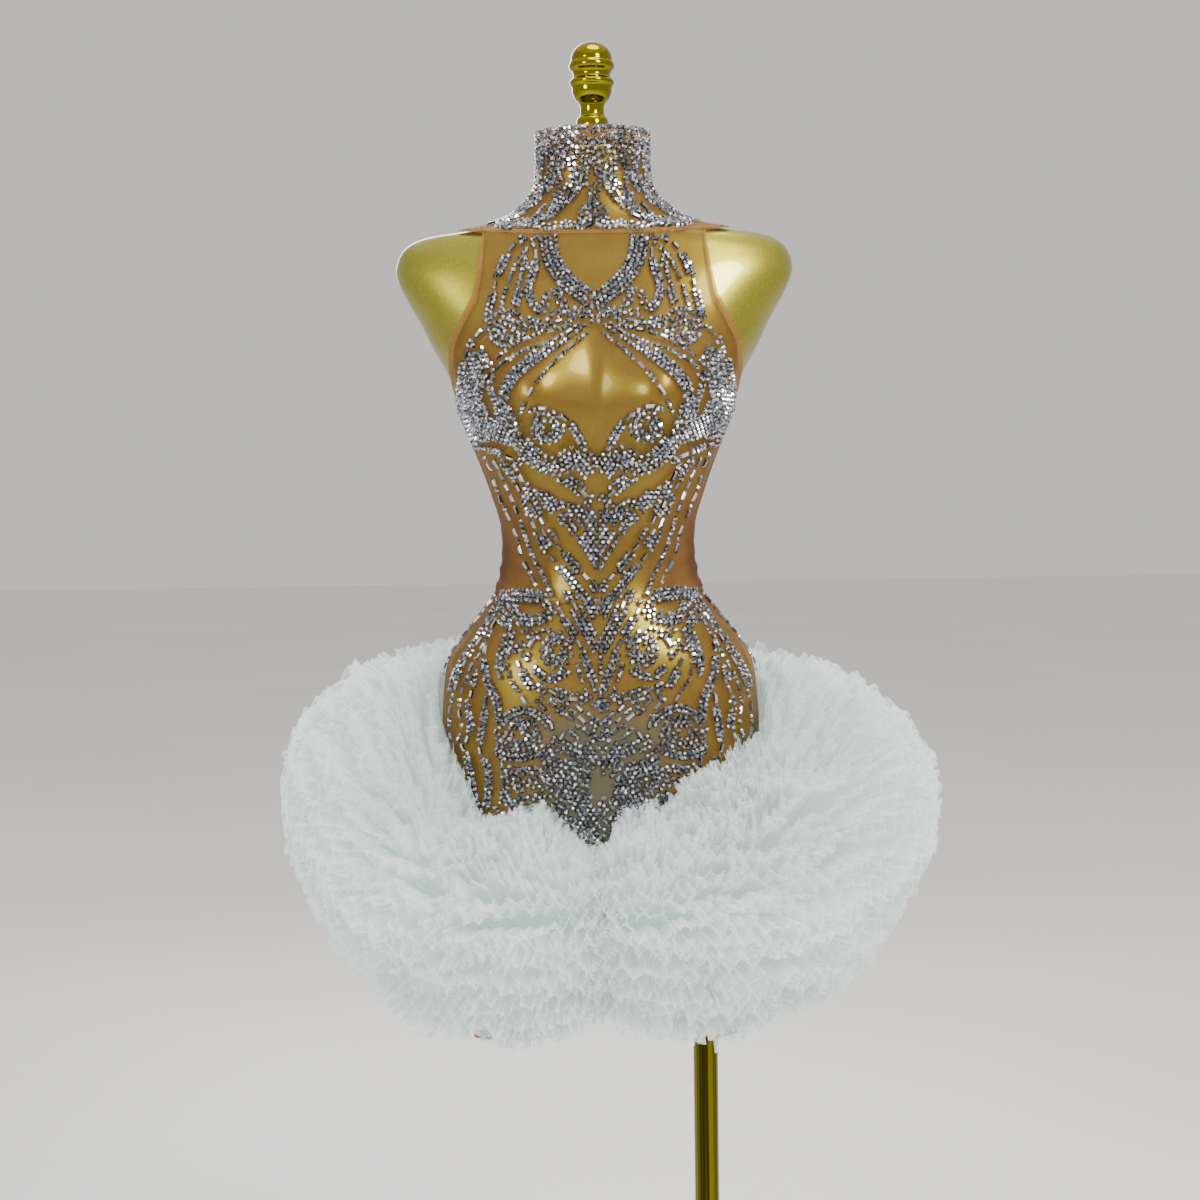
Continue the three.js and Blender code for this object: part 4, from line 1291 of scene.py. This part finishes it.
# collar and hem, drawn round the dress: degrees from the front and share of the height
collarStones = {
    "every": 30,  # degrees from one bare leaf to the next
    "leaf": (0.42, 0.36, 8.5),  # middle and half height in shares of the collar, half width in degrees
    "window": (0.80, 0.12, 5.0),  # the smaller ones above, about halfway between
    "starts": (0.5, 0.95),  # places of the first leaf and window, in shares of "every"
    "lean": -22,  # degrees that a leaf turns on its way up
    "reach": 96,  # mm from the middle, where they stop on the shoulders
    "plain": (105, 0.68),  # degrees and share past which the inside of the back is bare
    "foot": (0.03, 0.05),  # bare share above the seam, and how much more between its points
    "shake": (0.8, 0.012),  # degrees and share that a stone may stray
    "slope": -20,  # degrees that a baguette turns on its way up
    "baguettes": [(2, 0.1, 0.24), (9, 0.42, 0.56), (25, 0.3, 0.44), (12, 0.76, 0.9), (22, 0.62, 0.76)],
}
hemStones = {"rows": 3, "first": 0.05, "step": 0.075}  # in rows of the figure


def collarSpot(turned, share):
    top = rowAt(heights["collarTop"] - 2.5)
    bottom = collarSeamRow(turned) + 0.1
    return turned * degree, bottom + (top - bottom) * share


def walkRound(spots, clear=stones["inRound"], kind=0):
    line, normals = stoneFrame(*[np.array(column, float) for column in zip(*spots)])
    length, along = measured(line)
    found = []
    for w in np.arange(1.5, length[-1] - 0.5, stones["pitch"]):
        tables = (line, normals, along)
        spot = [np.array([np.interp(w, length, table[:, k]) for k in range(3)]) for table in tables]
        found.append((*spot, kind, clear))
    return found


def leafShare(turned, share, first, middle, half, wide):
    # below 1 inside the nearest bare leaf
    every = collarStones["every"]
    lean = collarStones["lean"] * (share - middle)
    off = (turned - first - lean + every / 2) % every - every / 2
    onward = (share - middle) / half
    return np.abs(off) / np.maximum(wide * (1 - onward**2), 0.01)


every = collarStones["every"]
addFound(walkRound([collarSpot(turned, 1.0) for turned in np.linspace(0.6, 178.8, 90)]))
for k in range(180 // every):  # baguettes lean up between the leaves
    for around, low, high in collarStones["baguettes"]:
        shares = np.linspace(low, high, 5)
        turned = around + k * every + collarStones["slope"] * (shares - low)
        addFound(walkRound([collarSpot(*spot) for spot in zip(turned, shares)], stones["byBaguette"], 1)[:1])
turned, share = [a.ravel() for a in np.meshgrid(np.arange(0.8, 179, 0.9), np.arange(0.0, 1.0, 0.012))]
leafFirst, windowFirst = [start * every for start in collarStones["starts"]]
bare = leafShare(turned, share, leafFirst, *collarStones["leaf"]) < 1
bare |= leafShare(turned, share, windowFirst, *collarStones["window"]) < 1
bare |= (turned > collarStones["plain"][0]) & (share > collarStones["plain"][1])
bare |= share < collarStones["foot"][0] + collarStones["foot"][1] * np.sin(turned * 12 * degree) ** 2
shake = rng.uniform(-1, 1, (len(turned), 2)) * collarStones["shake"]
turned, share = np.clip(turned + shake[:, 0], 0.6, 179), np.clip(share + shake[:, 1], 0, 1)
line, normals = stoneFrame(*collarSpot(turned[~bare], share[~bare]))
upright = np.array([0, 0, 1.0])
onNeck = np.abs(line[:, 0]) < collarStones["reach"]
addFound([(p, n, upright, 0, stones["inRound"]) for p, n in zip(line[onNeck], normals[onNeck])])
for k in range(hemStones["rows"]):
    above = hemStones["first"] + hemStones["step"] * k
    addFound(walkRound([(angle, hemRow(angle) + above) for angle in np.linspace(0.5, 179.5, 160) * degree]))

# the stones themselves: flat-backed rounds with a table and eight cut sides, and step-cut baguettes
point = np.array(placed["point"])
normal = unit(np.array(placed["normal"]))
along = unit(np.array(placed["along"]))
kind = np.array(placed["kind"])
along = unit(along - normal * np.sum(along * normal, axis=1, keepdims=True))
side = np.cross(normal, along)
print("stones:", len(kind), "of which baguettes:", int(kind.sum()), "in front:", int((point[:, 1] < 0).sum()))


def stoneMesh(name, chosen, outline, tableShare):
    # outline: corners of the girdle in the stone's plane
    corners = len(outline)
    base = np.array(outline, float)
    tilt = rng.normal(0, stones["tilt"], (chosen.sum(), 2))
    n = unit(normal[chosen] + along[chosen] * tilt[:, :1] + side[chosen] * tilt[:, 1:])
    a = unit(along[chosen] - n * np.sum(along[chosen] * n, axis=1, keepdims=True))
    s = np.cross(n, a)
    size = rng.uniform(*stones["size"], (len(n), 1, 1))
    girdle = (base[None, :, :1] * a[:, None] + base[None, :, 1:] * s[:, None]) * size
    centre = point[chosen][:, None]
    table = girdle * tableShare
    points = np.concatenate([centre + girdle, centre + table + n[:, None] * stones["height"]], axis=1)
    faces, paintedReflections = [], []
    reflectionShades = rng.beta(0.75, 0.85, (len(points), corners + 1))  # painted reflections of the facets: mostly dark or bright, seldom between
    for k in range(len(points)):
        first = k * corners * 2
        for i in range(corners):
            j = (i + 1) % corners
            faces.append((first + i, first + j, first + corners + j, first + corners + i))
        faces.append(tuple(first + corners + i for i in range(corners)))
        paintedReflections += list(reflectionShades[k, :-1])
        # the table's painted reflection is never among the darkest
        paintedReflections.append(0.25 + 0.75 * reflectionShades[k, -1])
    addPiece(name, points.reshape(-1, 3), faces, crystal, smooth=False, paintedReflections=paintedReflections)


radius = stones["round"] / 2
roundOutline = [(radius * math.cos(a), radius * math.sin(a)) for a in np.arange(8) * math.pi / 4]
wide, long = stones["baguette"]
baguetteOutline = [(long / 2, -wide / 2), (long / 2, wide / 2), (-long / 2, wide / 2), (-long / 2, -wide / 2)]
isFront = point[:, 1] < 0
stoneMesh("rhinestonesFront", (kind == 0) & isFront, roundOutline, stones["table"]["round"])
stoneMesh("rhinestonesBack", (kind == 0) & ~isFront, roundOutline, stones["table"]["round"])
stoneMesh("rhinestonesBaguette", kind == 1, baguetteOutline, stones["table"]["baguette"])

print("stage 7: studio")
# floor and light
studio = {
    "floorSize": 40,
    "floorColours": ("#efedeb", "#f5f3f1"),
    "patchSize": 1250,  # mm, of the paint's slight unevenness
    "world": "#bbb9b6",
    "worldStrength": 1.42,
    "lights": [
        # name, place, aim, size, power, colour
        ("keyLight", (1.5, -2.1, 2.7), (0, 0, 1.1), 1.0, 105, "#fffaf3"),
        ("fillLight", (-2.0, -2.6, 1.9), (0, 0, 0.9), 1.0, 66, "#f6f8ff"),
        ("topLight", (0.2, -0.2, 3.4), (0, 0, 1.0), 1.4, 42, "#ffffff"),
        ("ceilingLight", (0, 0, 6.5), (0, 0, 0), 12, 150, "#ffffff"),
        ("backLight", (-0.6, 2.6, 2.2), (0, 0, 1.0), 1.4, 30, "#ffffff"),
    ],
}
bpy.ops.mesh.primitive_plane_add(size=studio["floorSize"], location=(0, 0, -1 * mm))
floor = bpy.context.object
floor.name = "studioFloor"
floorMaterial, tree, shader = startMaterial("studioFloorPainted", {"Roughness": 0.75})
place = addNode(tree, "ShaderNodeTexCoord").outputs["Object"]
noise = {"Vector": place, "Scale": perMetre(studio["patchSize"]), "Detail": 3.0}
cloud = addNode(tree, "ShaderNodeTexNoise", noise).outputs["Fac"]
paint = colourSteps(tree, cloud, list(zip((0.3, 0.7), studio["floorColours"])))
tree.links.new(paint, shader.inputs["Base Color"])
floor.data.materials.append(floorMaterial)
floor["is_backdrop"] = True

world = bpy.data.worlds.new("studioWorld")
bpy.context.scene.world = world
world.use_nodes = True
background = world.node_tree.nodes["Background"]
background.inputs["Color"].default_value = linear(studio["world"])
background.inputs["Strength"].default_value = studio["worldStrength"]

for name, place, aim, size, power, colour in studio["lights"]:
    data = bpy.data.lights.new(name, "AREA")
    data.shape = "DISK"
    data.size = size
    data.energy = power
    data.color = linear(colour)[:3]
    light = bpy.data.objects.new(name, data)
    bpy.context.scene.collection.objects.link(light)
    light.location = place
    light.rotation_mode = "QUATERNION"
    light.rotation_quaternion = (Vector(aim) - Vector(place)).to_track_quat("-Z", "Y")
    light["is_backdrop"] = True

print("stage 8: cloth")
# each sheet of cloth: width and length of its cut in metres, its flat area, and what it hangs on
cuts = [
    (frontBodice, (0.46, 0.50), [stitchedTurnings]),
    (backBodiceRight, (0.23, 0.48), []),
    (backBodiceLeft, (0.23, 0.48), []),
    (frontSkirt, (0.42, 0.45), []),
    (backSkirt, (0.47, 0.46), []),
    (collar, (0.60, 0.16), []),
]
for piece, cut, extra in cuts:
    area = sum(face.area for face in piece.data.polygons)
    print(piece.name, "area", round(area, 4), "of", round(cut[0] * cut[1], 4))
for name, (piece, area) in sheets.items():
    print(name, "area", round(area, 3))

low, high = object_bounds()
